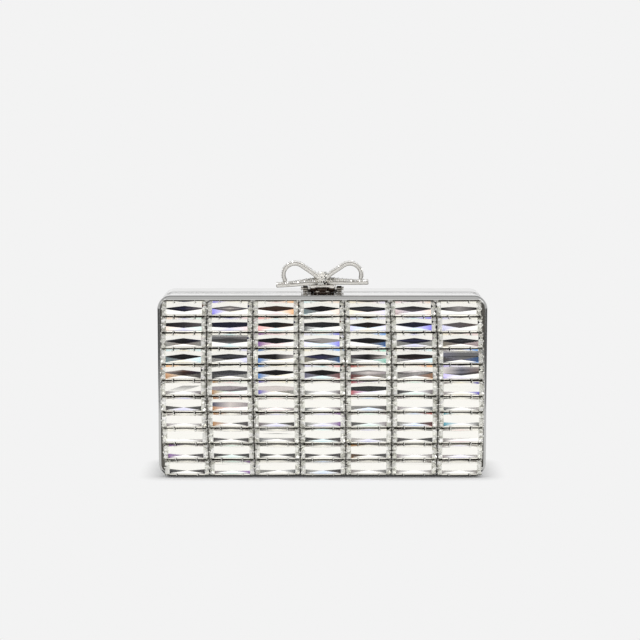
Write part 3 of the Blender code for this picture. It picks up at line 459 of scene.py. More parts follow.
def make_brushed():
    """Back panel: long fine lines across the width."""
    material, tree, shader = start_material("brushed_plate", (0.72, 0.72, 0.71), 1, 0.3,
                                            Anisotropic=0.5)
    lines = add_noise(tree, 2600, 3, (0.012, 1, 1))
    both = add_sum(tree, (lines, 0.7), (add_noise(tree, 420, 2, (0.05, 1, 1)), 0.3))
    mix_colour(tree, shader, both, (0.60, 0.60, 0.59), (0.82, 0.82, 0.81))
    spread_roughness(tree, shader, both, 0.22, 0.40)
    add_bump(tree, shader, lines, 0.006 * MM)
    return material


def make_aged_and_shaded_metal(name, dark, light, roughness):
    """Dark metal rubbed light on its edges; on the clasp knuckles the dark is painted shade."""
    material, tree, shader = start_material(name, dark, 1, roughness)
    mix_colour(tree, shader, add_group(tree, WEAR, Amount=2.0)["Wear"], dark, light)
    marks = add_group(tree, MARKS, Rarity=0.62)
    spread_roughness(tree, shader, marks["Smudges"], roughness, roughness + 0.15)
    add_bump(tree, shader, marks["Scratches"], -0.01 * MM)
    return material


def make_claw_metal():
    """Settings: bright tips, and roots painted dark as the shade behind the stones."""
    material, tree, shader = start_material("claw_plating_painted_shade", (0.5, 0.5, 0.46), 1, 0.2)
    # Painted shade: the colour runs from bright at the front to nearly black further back.
    depth = add_range(tree, split_place(tree, "Object")[1], -22.2 * MM, -20.9 * MM)
    mix_colour(tree, shader, depth, (0.88, 0.87, 0.82), (0.10, 0.09, 0.075))
    spread_roughness(tree, shader, add_group(tree, MARKS)["Smudges"], 0.14, 0.34)
    return material


def make_lacquered_steel():
    """Small working parts: brown-black lacquer with a few paler scratches."""
    material, tree, shader = start_material("black_lacquered_steel", (0.02, 0.01, 0.007), 0,
                                            0.5, Specular_IOR_Level=0.05)
    marks = add_group(tree, MARKS)
    mix_colour(tree, shader, marks["Scratches"], (0.02, 0.011, 0.007), (0.10, 0.07, 0.05))
    spread_roughness(tree, shader, marks["Smudges"], 0.4, 0.6)
    return material


POLISHED = make_plating("polished_plate", (0.86, 0.86, 0.85), 0.085, 0.06, 0.001 * MM)
# Painted shade: the frame round the stones is the polished plate made darker.
FRAME_PLATE_PAINTED_SHADE = make_plating("frame_plate_painted_shade", (0.52, 0.52, 0.51), 0.10, 0.06, 0.001 * MM)
BOW_PLATE = make_plating("warm_plate", (1.0, 0.975, 0.92), 0.28, 0.10, 0.002 * MM)
SATIN_PLATE = make_plating("satin_plate", (1.0, 0.96, 0.90), 0.26, 0.10, 0.002 * MM)
# Painted shade: the bow's inner side and round edges are the warm plate made dark.
BOW_PAINTED_SHADE = make_plating("warm_plate_painted_shade", (0.33, 0.31, 0.275), 0.22, 0.12, 0.003 * MM)
BRUSHED = make_brushed()
GUNMETAL = make_aged_and_shaded_metal("gunmetal_lacquer", (0.06, 0.058, 0.05), (0.2, 0.19, 0.17), 0.34)
# Painted shade: the clasp knuckles and striker rivets are plate made dark, as the shade under the
# bow.
KNUCKLE_PAINTED_SHADE = make_aged_and_shaded_metal("knuckle_plate_painted_shade", (0.10, 0.092, 0.08), (0.75, 0.70, 0.62), 0.24)
LACQUERED_STEEL = make_lacquered_steel()
CLAW_METAL_PAINTED_SHADE = make_claw_metal()
print("metals made")

# %% [markdown]
# ## Crystal
#
# A foil-backed stone is clear glass in front of a mirror. The mirror's facets lean in many
# directions, so each shows another part of the room, some white and some dark, and the glass
# splits a few of them into colours. The glass is plain Transmission. The mirror's colour is
# painted reflection: each facet's dark, white or coloured tint is read from an attribute that
# is stored with the mesh.

# %% Crystal finishes
def make_foil(name, roughness, frosted):
    """Mirror that reads a painted reflection per facet, and from its alpha how clear it is."""
    material, tree, shader = start_material(name, (0.9, 0.9, 0.9), 1, roughness)
    shade = tree.nodes.new('ShaderNodeAttribute')
    shade.attribute_name = "painted_facet_reflection"
    tree.links.new(shade.outputs["Color"], shader.inputs["Base Color"])
    spread_roughness(tree, shader, shade.outputs["Alpha"], frosted, roughness)
    return material


GLASS = start_material("clear_crystal", (1, 1, 1), 0, 0, Transmission_Weight=1, IOR=1.52)[0]
FOIL = make_foil("mirror_foil", 0.04, 0.45)
PAVE = make_foil("small_stones", 0.06, 0.3)
print("crystal made")

# %% [markdown]
# ## Lining cloth
#
# The inside is silver-grey satin stuck on board. Satin is woven, so close up it has two sets
# of threads, and from a step away only a soft sheen. The threads follow the walls, and so
# the pattern is read from the object's own place on all three axes.

# %% Satin
def make_satin():
    material, tree, shader = start_material("lining_satin", (0.42, 0.41, 0.39), 0, 0.5,
                                            Sheen_Weight=0.6, Sheen_Roughness=0.35)
    place = tree.nodes.new('ShaderNodeTexCoord')
    threads = []
    for axis in ('X', 'Z'):
        wave = add_node(tree, 'ShaderNodeTexWave', Scale=620, Distortion=0.6, Detail_Scale=2.0)
        wave.bands_direction = axis
        tree.links.new(place.outputs["Object"], wave.inputs["Vector"])
        threads.append(wave.outputs["Fac"])
    weave = add_math(tree, 'MAXIMUM', threads[0], add_math(tree, 'MULTIPLY', threads[1], 0.6))
    tone = add_sum(tree, (weave, 0.4), (add_noise(tree, 700, 3, (0.2, 1, 1)), 0.6))
    mix_colour(tree, shader, tone, (0.34, 0.33, 0.31), (0.56, 0.55, 0.52))
    spread_roughness(tree, shader, tone, 0.42, 0.58)
    soft = add_noise(tree, 28, 3, (1, 1, 2.2), (0, 20, 0))
    add_bump(tree, shader, add_sum(tree, (weave, 0.05), (soft, 1.0)), 0.7 * MM, 0.5)
    return material


SATIN = make_satin()
print("satin made")

# %% [markdown]
# ## How a piece is finished
#
# Every piece ends the same way: its mesh becomes an object at the origin, curved faces are
# shaded smooth while real edges stay sharp, and it rides on the body that carries it. Where
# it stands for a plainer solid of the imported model, that solid is hidden.

# %% Helpers for pieces
def add_piece(name, bm, materials, body, replaced=(), sharp_degrees=32):
    """Finish a piece; no sharp angle means flat facets, and without a body it rides on none."""
    mesh = make_mesh(name, bm, materials)
    piece = link_to_scene(name, mesh)
    if sharp_degrees:
        mesh.shade_smooth()
        mesh.set_sharp_from_angle(angle=math.radians(sharp_degrees))
    if body:
        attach(piece, body)
    if replaced:
        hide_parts(*replaced)
    return piece


def carve(bm, cutter_bm):
    """Cut one closed shape out of another and return the result."""
    shape = link_to_scene("carved", make_mesh("carved", bm))
    cutter = link_to_scene("cutter", make_mesh("cutter", cutter_bm))
    modifier = shape.modifiers.new("carve", 'BOOLEAN')
    modifier.operation = 'DIFFERENCE'
    modifier.solver = 'EXACT'
    modifier.object = cutter
    evaluated = shape.evaluated_get(bpy.context.evaluated_depsgraph_get())
    result = bmesh.new()
    result.from_mesh(bpy.data.meshes.new_from_object(evaluated))
    bpy.data.objects.remove(shape)
    bpy.data.objects.remove(cutter)
    return result


def round_edges(bm, edges, width, segments=3):
    """Bevel some edges, each of them once and in the order given."""
    bmesh.ops.bevel(bm, geom=list(dict.fromkeys(edges)), offset=width, offset_type='OFFSET',
                    segments=segments, profile=0.5, affect='EDGES', material=-1)


def add_box(bm, low, high, rounding=0.0, segments=3):
    """Add a box between two corners, with all its edges rounded."""
    low = Vector(low)
    high = Vector(high)
    made = bmesh.ops.create_cube(bm, size=1)["verts"]
    bmesh.ops.scale(bm, vec=high - low, verts=made)
    bmesh.ops.translate(bm, vec=(low + high) / 2, verts=made)
    if rounding:
        round_edges(bm, (edge for vert in made for edge in vert.link_edges), rounding, segments)


def add_bar(bm, radius, start, end, sides=40, rounding=0.0):
    """Add a round bar between two points, its two rims rounded."""
    start = Vector(start)
    end = Vector(end)
    turn = Vector((0, 0, 1)).rotation_difference(end - start).to_matrix().to_4x4()
    place = Matrix.Translation((start + end) / 2) @ turn
    made = bmesh.ops.create_cone(bm, cap_ends=True, segments=sides, radius1=radius,
                                 radius2=radius, depth=(end - start).length,
                                 matrix=place)["verts"]
    if rounding:
        caps = [face for vert in made for face in vert.link_faces if len(face.verts) == sides]
        round_edges(bm, (edge for face in caps for edge in face.edges), rounding)


print("helpers ready")

# %% [markdown]
# ## Shells and frames of the case
#
# Both halves are bands of sheet metal with a rounded rectangle as their outline. A band could
# be cut from a block, but its polish shows every flat spot. So one ring is made with a finely
# rounded corner, and it is extruded again and again along the section of the band. At each
# step the ring is fitted to a slightly smaller or larger rounded rectangle, and the last ring
# meets the first.

# %% Sweep a section round the case
CASE_LOW, CASE_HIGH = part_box("front_rim")
CASE_MIDDLE = (CASE_LOW.z + CASE_HIGH.z) / 2
CASE = (CASE_HIGH.x - CASE_LOW.x, CASE_HIGH.z - CASE_LOW.z, 7.3 * MM)
CORNER_SEGMENTS = 20


def inset(outline, amount):
    width, height, radius = outline
    return (width - 2 * amount, height - 2 * amount, radius - amount)


def mix_outlines(first, second, share):
    return tuple(a + (b - a) * share for a, b in zip(first, second))


def fit_ring(verts, old, new, middle_z):
    """Move a ring from one rounded rectangle to another, corner by corner."""
    for vert in verts:
        for axis, middle, size in ((0, 0, 0), (2, middle_z, 1)):
            side = math.copysign(1, vert.co[axis] - middle)
            old_centre = side * (old[size] / 2 - old[2])
            new_centre = side * (new[size] / 2 - new[2])
            arm = vert.co[axis] - middle - old_centre
            vert.co[axis] = middle + new_centre + arm * new[2] / old[2]


def sweep_rings(rings, middle_z=CASE_MIDDLE, closed=True):
    """Extrude rounded rectangles along a list of (outline, depth); closed joins the ends."""
    bm = bmesh.new()
    outline, depth = rings[0]
    bmesh.ops.create_grid(bm, x_segments=1, y_segments=1, size=0.5)
    bmesh.ops.scale(bm, vec=(outline[0], outline[1], 1), verts=bm.verts)
    bmesh.ops.rotate(bm, cent=(0, 0, 0), matrix=Matrix.Rotation(math.radians(90), 3, 'X'),
                     verts=bm.verts)
    bmesh.ops.translate(bm, vec=(0, depth, middle_z), verts=bm.verts)
    bmesh.ops.bevel(bm, geom=bm.verts[:], offset=outline[2], offset_type='OFFSET', profile=0.5,
                    segments=CORNER_SEGMENTS, affect='VERTICES', material=-1)
    edges = bm.edges[:]
    if closed:
        bmesh.ops.delete(bm, geom=bm.faces[:], context='FACES_ONLY')
    for new_outline, new_depth in rings[1:]:
        swept = bmesh.ops.extrude_edge_only(bm, edges=edges)["geom"]
        verts = [item for item in swept if isinstance(item, bmesh.types.BMVert)]
        edges = [item for item in swept if isinstance(item, bmesh.types.BMEdge)
                 and item.is_boundary]
        fit_ring(verts, outline, new_outline, middle_z)
        bmesh.ops.translate(bm, vec=(0, new_depth - depth, 0), verts=verts)
        outline, depth = new_outline, new_depth
    if closed:
        bmesh.ops.remove_doubles(bm, verts=bm.verts, dist=0.001 * MM)
    else:
        bmesh.ops.contextual_create(bm, geom=edges)
    bmesh.ops.recalc_face_normals(bm, faces=bm.faces)
    return bm


def quarter_round(outer, inner, depth, reach, steps):
    """Rings of a quarter round: from outer, straight along the depth, to inner at the end."""
    rings = []
    for step in range(steps + 1):
        angle = math.pi / 2 * step / steps
        rings.append((mix_outlines(outer, inner, 1 - math.cos(angle)),
                      depth + reach * math.sin(angle)))
    return rings


print("case in mm:", [round(side / MM, 1) for side in CASE])

# %% [markdown]
# ## Bands and frames
#
# The section of a half shell is a few rings and a small quarter round at the seam. The frame
# has a wide quarter round that ends in a lip over the stones. The bands are cut afterwards,
# where the hinge barrel and the nose of the latch need room: for a groove across a finished
# shell, Boolean is the plain way.

# %% Bands and frames
OPENING_GAP = 0.3 * MM
OPENING_CORNER = 5.3 * MM
WALL = 1.2 * MM
EDGE = 0.25 * MM
SEAM_ROUND = 1.0 * MM
BEZEL_ROUND = 2.8 * MM
STONE_LIP = 0.4 * MM
LIP_THICKNESS = 0.6 * MM
GROOVE_RADIUS = 4.0 * MM
GROOVE_SIDE_GAP = 1.7 * MM
SLOT_HALF_WIDTH = 3.2 * MM


def start_rings(joint, way):
    """First rings of a band or frame, with its small edge at the joint taken off."""
    return [(inset(CASE, EDGE), joint), (CASE, joint + way * EDGE)]


def build_bezel(name, node, body, side, plating, lip=0.0):
    """Frame round the stones or the back panel: a soft quarter round that ends in a lip."""
    low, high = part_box(node)
    face, back = (low.y, high.y) if side < 0 else (high.y, low.y)
    plate_low, plate_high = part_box("front_stone_plate")
    opening = (plate_high.x - plate_low.x + 2 * OPENING_GAP,
               plate_high.z - plate_low.z + 2 * OPENING_GAP, OPENING_CORNER)
    rings = start_rings(back, side)
    rings += quarter_round(CASE, inset(opening, lip), face - side * BEZEL_ROUND,
                           side * BEZEL_ROUND, 10)
    if lip:
        behind = face - side * LIP_THICKNESS
        rings += [(inset(opening, lip), behind), (opening, behind)]
    rings += [(opening, back), rings[0]]
    add_piece(name, sweep_rings(rings), [plating], body, [node])


def rim_rings(joint, seam):
    """Section of a half shell, from its joint with the bezel to its round lip at the seam."""
    way = math.copysign(1, seam - joint)
    rings = start_rings(joint, way)
    rings += quarter_round(CASE, inset(CASE, SEAM_ROUND), seam - way * SEAM_ROUND,
                           way * SEAM_ROUND, 5)
    return rings + [(inset(CASE, WALL), seam), (inset(CASE, WALL), joint), rings[0]]


def hinge_groove():
    """Round cutter along the bottom of the seam, where the hinge barrel lies."""
    barrel_low, barrel_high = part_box("hinge_pin")
    axis = (barrel_low + barrel_high) / 2
    bm = bmesh.new()
    reach = CASE_HIGH.x - GROOVE_SIDE_GAP
    add_bar(bm, GROOVE_RADIUS, (-reach, axis.y, axis.z), (reach, axis.y, axis.z), 64)
    return bm


def latch_slot():
    """Square cutter through the top wall, under the nose of the latch."""
    bm = bmesh.new()
    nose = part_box("latch_tongue")[0].y
    add_box(bm, (-SLOT_HALF_WIDTH, nose - 1.7 * MM, CASE_HIGH.z - 3 * MM),
            (SLOT_HALF_WIDTH, nose + 0.7 * MM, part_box("striker_plate")[1].z + MM))
    return bm


for half, joint, seam in (("front", 0, 1), ("back", 1, 0)):
    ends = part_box(f"{half}_rim")
    band = carve(sweep_rings(rim_rings(ends[joint].y, ends[seam].y)), hinge_groove())
    if half == "front":
        band = carve(band, latch_slot())
    add_piece(f"{half}_shell_band", band, [POLISHED], f"{half}_half",
              [f"{half}_rim"])
build_bezel("front_frame_round", "front_bezel", "front_half", -1, FRAME_PLATE_PAINTED_SHADE, STONE_LIP)
build_bezel("back_frame_round", "back_bezel", "back_half", 1, POLISHED)
print("bands and frames swept")

# %% [markdown]
# ## Inside of the case
#
# Each half holds a tray of cloth-covered board. It is swept like the bands, but open: its
# first and last rings are filled, and a fillet rounds the fold between wall and floor, where
# cloth never lies sharp. A thin lip inside the mouth keeps dust out. It is the same sweep,
# cut off at its lower ends by a plane.

# %% Trays and dust lip
BOARD = 0.8 * MM
FOLD = 2.2 * MM
FOLD_STEPS = 6
TRAY_CORNER = 5.8 * MM
LIP_GAP = 1.5 * MM
LIP_ROUND = 0.3 * MM


def build_tray(name, node, body, side):
    """Tray of covered board, from the back of its floor over its mouth to the fold inside."""
    low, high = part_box(node)
    floor_y, mouth_y = (low.y, high.y) if side > 0 else (high.y, low.y)
    outer = (high.x - low.x, high.z - low.z, TRAY_CORNER)
    rings = [(outer, floor_y)]
    rings += quarter_round(outer, inset(outer, BOARD / 2), mouth_y - side * BOARD / 2,
                           side * BOARD / 2, 4)
    rings += [(inset(outer, BOARD * 0.85), mouth_y - side * BOARD * 0.15),
              (inset(outer, BOARD), mouth_y - side * BOARD / 2)]
    for step in range(FOLD_STEPS + 1):
        angle = math.pi / 2 * step / FOLD_STEPS
        rings.append((inset(outer, BOARD + FOLD * (1 - math.cos(angle))),
                      floor_y + side * (BOARD + FOLD * (1 - math.sin(angle)))))
    add_piece(name, sweep_rings(rings, (low.z + high.z) / 2, closed=False), [SATIN], body,
              [node])


def build_dust_lip():
    low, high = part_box("rim_lip")
    outer = inset(CASE, LIP_GAP)
    inner = inset(outer, BOARD)
    bm = sweep_rings([(outer, high.y), (outer, low.y + LIP_ROUND),
                      (inset(outer, LIP_ROUND), low.y), (inner, low.y), (inner, high.y),
                      (outer, high.y)])
    bmesh.ops.bisect_plane(bm, geom=bm.verts[:] + bm.edges[:] + bm.faces[:],
                           plane_co=(0, 0, low.z), plane_no=(0, 0, 1), clear_inner=True)
    bmesh.ops.holes_fill(bm, edges=[edge for edge in bm.edges if edge.is_boundary], sides=0)
    bmesh.ops.recalc_face_normals(bm, faces=bm.faces)
    add_piece("dust_lip_band", bm, [POLISHED], "back_half", ["rim_lip"])


build_tray("front_tray_cloth", "front_lining", "front_half", 1)
build_tray("back_tray_cloth", "back_lining", "back_half", -1)
build_dust_lip()
print("trays and lip made")

# %% [markdown]
# ## One crystal
#
# A baguette crystal is a slab with a flat table, four sloping sides and a cut back. In the
# middle of its back lies a long flat lozenge, with leaning triangles round it: in a row of
# such stones the lozenges all turn dark together and the triangles flash. The stone starts
# as a cube. Its front is extruded and drawn in, its back is divided by planes, and the
# middle cells are poked, which makes exactly the lozenge and its triangles. Corners and
# faces are sorted at the end, because bevel leaves them in another order in each run.

# %% Cut a stone
STONE_LENGTH = 24.4 * MM
STONE_HEIGHT = 8.0 * MM
CROWN_DEPTH = 1.3 * MM
GIRDLE_DEPTH = 0.4 * MM
TABLE_LENGTH_SHARE = 0.92
TABLE_HEIGHT_SHARE = 0.68
MITRE = 0.35 * MM
END_SHARE = 0.395
TOP_SHARE = 0.30
BOTTOM_SHARE = -0.38
WAIST_SHARE = 0.06
CENTRE_DEPTH = 0.55 * MM
TOP_DEPTH = 0.42 * MM
END_DEPTH = 0.28 * MM
BOTTOM_DEPTH = 0.36 * MM
NEAR = 0.01 * MM
FOIL_INDEX = 1


def facets_behind(bm):
    """Faces of the stone's back, where the mirror is."""
    return [face for face in bm.faces
            if face.calc_center_median().y > GIRDLE_DEPTH / 2 - NEAR]


def cut_back(bm, place, direction):
    """Divide the faces of the back along a plane."""
    faces = facets_behind(bm)
    parts = dict.fromkeys(faces)
    for face in faces:
        parts.update(dict.fromkeys(face.edges))
        parts.update(dict.fromkeys(face.verts))
    bmesh.ops.bisect_plane(bm, geom=list(parts), plane_co=place, plane_no=direction)


def back_depth(u, v):
    """Depth of a corner of the back below the girdle."""
    if abs(v) > 0.49:
        return 0.0
    if abs(u) > 0.49:
        return END_DEPTH
    if v > TOP_SHARE - 0.01:
        return TOP_DEPTH
    if v < BOTTOM_SHARE + 0.01:
        return BOTTOM_DEPTH
    return CENTRE_DEPTH


def sort_key(place):
    """One number for a place, different for each corner or facet of a stone."""
    return round(place.x + 7 * place.y + 53 * place.z, 9)


def make_stone():
    """Glass front and foil back of one stone, its girdle centred on the origin."""
    bm = bmesh.new()
    bmesh.ops.create_cube(bm, size=1)
    bmesh.ops.scale(bm, vec=(STONE_LENGTH, GIRDLE_DEPTH, STONE_HEIGHT), verts=bm.verts)
    bm.normal_update()
    front = next(face for face in bm.faces if face.normal.y < -0.9)
    table = bmesh.ops.extrude_discrete_faces(bm, faces=[front])["faces"][0]
    bmesh.ops.scale(bm, vec=(TABLE_LENGTH_SHARE, 1, TABLE_HEIGHT_SHARE), verts=table.verts)
    bmesh.ops.translate(bm, vec=(0, -CROWN_DEPTH, 0), verts=table.verts)
    round_edges(bm, (edge for vert in table.verts for edge in vert.link_edges
                     if edge not in table.edges[:]), MITRE, 1)
    for u in (-END_SHARE, END_SHARE):
        cut_back(bm, (u * STONE_LENGTH, 0, 0), (1, 0, 0))
    for v in (TOP_SHARE, WAIST_SHARE, -WAIST_SHARE, BOTTOM_SHARE):
        cut_back(bm, (0, 0, v * STONE_HEIGHT), (0, 0, 1))
    poked = []
    for face in facets_behind(bm):
        centre = face.calc_center_median()
        v = centre.z / STONE_HEIGHT
        middle = abs(centre.x) < END_SHARE * STONE_LENGTH
        if not middle or (BOTTOM_SHARE < v < TOP_SHARE and abs(v) > WAIST_SHARE):
            poked.append(face)
    bmesh.ops.poke(bm, faces=poked)
    cut_back(bm, (0, 0, 0), (1, 0, 0))
    for face in bm.faces:
        if face.calc_center_median().y > -GIRDLE_DEPTH / 2 + NEAR:
            face.material_index = FOIL_INDEX
    for vert in bm.verts:
        if vert.co.y > 0:
            vert.co.y += back_depth(vert.co.x / STONE_LENGTH, vert.co.z / STONE_HEIGHT)
    bmesh.ops.recalc_face_normals(bm, faces=bm.faces)
    bm.verts.sort(key=lambda vert: sort_key(vert.co))
    bm.faces.sort(key=lambda face: sort_key(face.calc_center_median()))
    return make_mesh("stone_pattern", bm)


STONE = make_stone()
print("faces of one stone:", len(STONE.polygons))

# %% [markdown]
# ## Painted reflections of the facets
#
# Which facet is dark depends on what it mirrors, and a path through glass and foil is hard to
# aim. So the reflections are painted into the foil's colour, with shades chosen from a seeded
# random source. Each band of facets has a painted colour at its left end, its middle and its
# right end, and blends between them as real dispersion does. In the upper five rows the
# lozenge is painted dark, with painted white and coloured flashes below it.
# In the lower six rows the lozenge is white, and the triangles below it are grey at the ends.

# %% Choose painted facet reflections
# Painted reflections in the foil: dark tones for facets that mirror the dim room, coloured
# flashes for dispersion, greys, and pale tones for the ends.
DARK_TONES = ((0.010, 0.010, 0.012), (0.030, 0.018, 0.018), (0.03, 0.03, 0.08),
              (0.09, 0.08, 0.09), (0.34, 0.30, 0.31), (0.70, 0.64, 0.61), (0.12, 0.06, 0.04),
              (0.018, 0.016, 0.018), (0.05, 0.05, 0.06), (1.0, 0.94, 0.92), (0.012, 0.010, 0.012))
GREY_TONES = ((0.13, 0.13, 0.12), (0.24, 0.22, 0.205), (0.15, 0.125, 0.13), (0.34, 0.32, 0.30),
              (0.11, 0.115, 0.11), (0.26, 0.23, 0.23), (0.18, 0.18, 0.165))
FLASHES = ((0.30, 0.28, 0.85), (0.20, 0.45, 0.95), (0.35, 0.85, 0.95), (0.98, 0.55, 0.28),
           (0.95, 0.80, 0.40), (0.62, 0.55, 0.98), (0.95, 0.50, 0.50), (0.45, 0.85, 0.70))
DEEP_FLASHES = ((0.10, 0.08, 0.40), (0.05, 0.30, 0.38), (0.42, 0.08, 0.08), (0.40, 0.20, 0.07),
                (0.22, 0.10, 0.30), (0.06, 0.20, 0.50))
END_TONES = ((0.96, 0.95, 0.88), (0.92, 0.91, 0.83), (0.99, 0.98, 0.93), (0.86, 0.86, 0.77),
             (0.98, 0.97, 0.92), (1.0, 0.99, 0.96), (0.60, 0.59, 0.52))
WHITE = (1.0, 0.985, 0.93)
WHITE_BAND = (WHITE, WHITE, WHITE)
UPPER_ROWS = 5
ONE_DARK_CHANCE = 0.55
ODD_CHANCE = 0.12
RECTANGLE_CHANCE = 0.08
ARCH_CHANCE = 0.4


def pale(colour, share):
    return tuple(channel + (1 - channel) * share for channel in colour)


def dark_band(rng):
    """Painted dark reflection in the lozenge, of one tone or of three."""
    first = rng.choice(DARK_TONES)
    if rng.random() < ONE_DARK_CHANCE:
        return first, first, first
    return first, rng.choice(DARK_TONES), rng.choice(DARK_TONES)


def flash_band(rng):
    """Mostly white, with a pastel flash at one end or both."""
    ends = []
    for end in range(2):
        chance = rng.random()
        if chance < 0.20:
            ends.append(rng.choice(FLASHES))
        elif chance < 0.58:
            ends.append(pale(rng.choice(FLASHES), 0.6))
        elif chance < 0.64:
            ends.append(rng.choice(GREY_TONES))
        else:
            ends.append(WHITE)
    return ends[0], pale(rng.choice(FLASHES), rng.choice((0.7, 1.0, 1.0))), ends[1]


def grey_band(rng):
    """Grey at both ends and clear in the middle; now and then one end is coloured."""
    ends = [rng.choice(DEEP_FLASHES) if rng.random() < 0.13 else rng.choice(GREY_TONES)
            for end in range(2)]
    if rng.random() < 0.10:
        ends[rng.randrange(2)] = WHITE
    return ends[0], pale(rng.choice(GREY_TONES), rng.uniform(0.35, 0.9)), ends[1]


def choose_bands(rng, row):
    """Painted reflection colours of one stone: each band at its left, its middle and its right.
    """
    bands = {"frame": WHITE_BAND, "upper": WHITE_BAND, "arch": WHITE_BAND}
    odd = rng.random() < ODD_CHANCE
    if row < UPPER_ROWS or (odd and row < UPPER_ROWS + 2):
        bands["lozenge"] = dark_band(rng)
        bands["lower"] = flash_band(rng)
        if rng.random() < RECTANGLE_CHANCE:
            bands["lozenge"] = tuple(pale(tone, 0.15) for tone in bands["lozenge"])
            bands["upper"] = bands["lozenge"]
        if odd:
            bands["lower"] = (rng.choice(DEEP_FLASHES), pale(rng.choice(FLASHES), 0.5), WHITE)
    else:
        bands["lozenge"] = WHITE_BAND
        bands["lower"] = grey_band(rng)
    if rng.random() < ARCH_CHANCE:
        bands["arch"] = (WHITE, pale(rng.choice(FLASHES), 0.6), WHITE)
    return bands


print("tones:", len(DARK_TONES) + len(GREY_TONES) + len(FLASHES) + len(END_TONES))

# %% [markdown]
# ## Which facet is which
#
# A facet's centre tells which band it belongs to, so none has to be picked by hand. The
# colours are then spread along the band, corner by corner.

# %% Name a facet by its place
def facet_name(centre, row):
    """Band of a facet by the place of its centre; the short ends have none."""
    u = centre.x / STONE_LENGTH
    v = centre.z / STONE_HEIGHT
    if abs(u) > END_SHARE:
        wedge = 0 < u < 0.44 and 0 < v < TOP_SHARE and row < UPPER_ROWS
        return "wedge" if wedge else "end"
    if v > TOP_SHARE or v < BOTTOM_SHARE:
        return "frame"
    toward_middle = 1 - abs(u) / END_SHARE
    reach = (TOP_SHARE if v > 0 else -BOTTOM_SHARE) - WAIST_SHARE
    if abs(v) < WAIST_SHARE + toward_middle * reach / 2:
        return "lozenge"
    if v > 0:
        return "upper"
    return "lower" if abs(u) > END_SHARE / 2 else "arch"


def band_colour(band, u):
    """Colour of a band at a place along the stone."""
    share = min(abs(u) / END_SHARE, 1)
    end = band[0] if u < 0 else band[2]
    return tuple(m + (e - m) * share for m, e in zip(band[1], end))


print("bands of facets:", len(choose_bands(random.Random(1), 0)))

# %% [markdown]
# ## Seventy-seven stones, set by hand
#
# No row of hand-set stones is quite straight. Each stone is shifted, turned and leaned by a
# little, inside the gap that its neighbours leave. The seven columns stay separate pieces,
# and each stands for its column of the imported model. Corners that lie on one spot are welded
# at the end, which takes away the slivers that the cuts left.

# %% Set the stones
COLUMNS = 7
ROWS = 11
ROW_SPREAD = 1.008
SETTING_DROP = 0.4 * MM
CORNER_SQUEEZE = 0.017
ROW_DRIFT = 0.45 * MM
SHIFT = 0.10 * MM
ROLL_DEGREES = 0.65
LEAN_DEGREES = 0.5
FACET_PLAY = 0.02 * MM
END_PLAY = 6
WELD = 0.045 * MM
END_CLEARNESS = (0.0, 0.2, 0.7)
DARK_WEDGE_CHANCE = 0.6
BLUNT_ENDS = (0.4, 0.7, 1.0, 1.3, 1.8, 2.4)
LOW_ROW_BLUNTER = 1.3
GIRDLE_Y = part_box("crystal_column_1")[0].y + CROWN_DEPTH + GIRDLE_DEPTH / 2


def bend_row(row, x):
    """Rows near the round corners of the case are drawn together and drift a little."""
    share = 2 * row / (ROWS - 1) - 1
    return x * (1 - CORNER_SQUEEZE * share ** 2) + ROW_DRIFT * share


def column_places(column):
    """Middle of each stone of a column, top row first."""
    low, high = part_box(f"crystal_column_{column + 1}")
    pitch = ROW_SPREAD * (high.z - low.z - STONE_HEIGHT) / (ROWS - 1)
    x = (low.x + high.x) / 2
    top = (low.z + high.z) / 2 - SETTING_DROP + pitch * (ROWS - 1) / 2
    return [Vector((bend_row(row, x), GIRDLE_Y, top - pitch * row)) for row in range(ROWS)]


def hand_set(rng, place):
    """Placement of one stone, as a person's hand leaves it."""
    shifted = place + Vector((rng.uniform(-SHIFT, SHIFT), 0, rng.uniform(-SHIFT, SHIFT)))
    turn = Matrix.Rotation(math.radians(rng.uniform(-ROLL_DEGREES, ROLL_DEGREES)), 4, 'Y')
    lean = Matrix.Rotation(math.radians(rng.uniform(-LEAN_DEGREES, LEAN_DEGREES)), 4, 'X')
    return Matrix.Translation(shifted) @ turn @ lean


def add_stone(bm, layer, rng, row, placement):
    """Add one stone with its own facet depths and painted reflections."""
    first_vert = len(bm.verts)
    first_face = len(bm.faces)
    bm.from_mesh(STONE)
    bm.verts.ensure_lookup_table()
    bm.faces.ensure_lookup_table()
    verts = bm.verts[first_vert:]
    bands = choose_bands(rng, row)
    for face in bm.faces[first_face:]:
        name = facet_name(face.calc_center_median(), row)
        tone = rng.choice(END_TONES)
        clear = rng.choice(END_CLEARNESS)
        if name == "wedge":
            tone = rng.choice(DARK_TONES if rng.random() < DARK_WEDGE_CHANCE else END_TONES)
        for loop in face.loops:
            if name in bands:
                loop[layer] = (*band_colour(bands[name], loop.vert.co.x / STONE_LENGTH), 1)
            else:
                loop[layer] = (*tone, clear)
    blunt = rng.choice(BLUNT_ENDS) + (LOW_ROW_BLUNTER if row >= UPPER_ROWS else 0)
    for vert in verts:
        if vert.co.y > 0 and abs(abs(vert.co.z / STONE_HEIGHT) - WAIST_SHARE) < 0.005:
            vert.co.z *= blunt
        if vert.co.y > GIRDLE_DEPTH:
            end = abs(vert.co.x) > END_SHARE * STONE_LENGTH * 1.02
            vert.co.y += rng.uniform(-1, 1) * FACET_PLAY * (END_PLAY if end else 1)
    bmesh.ops.transform(bm, matrix=placement, verts=verts)


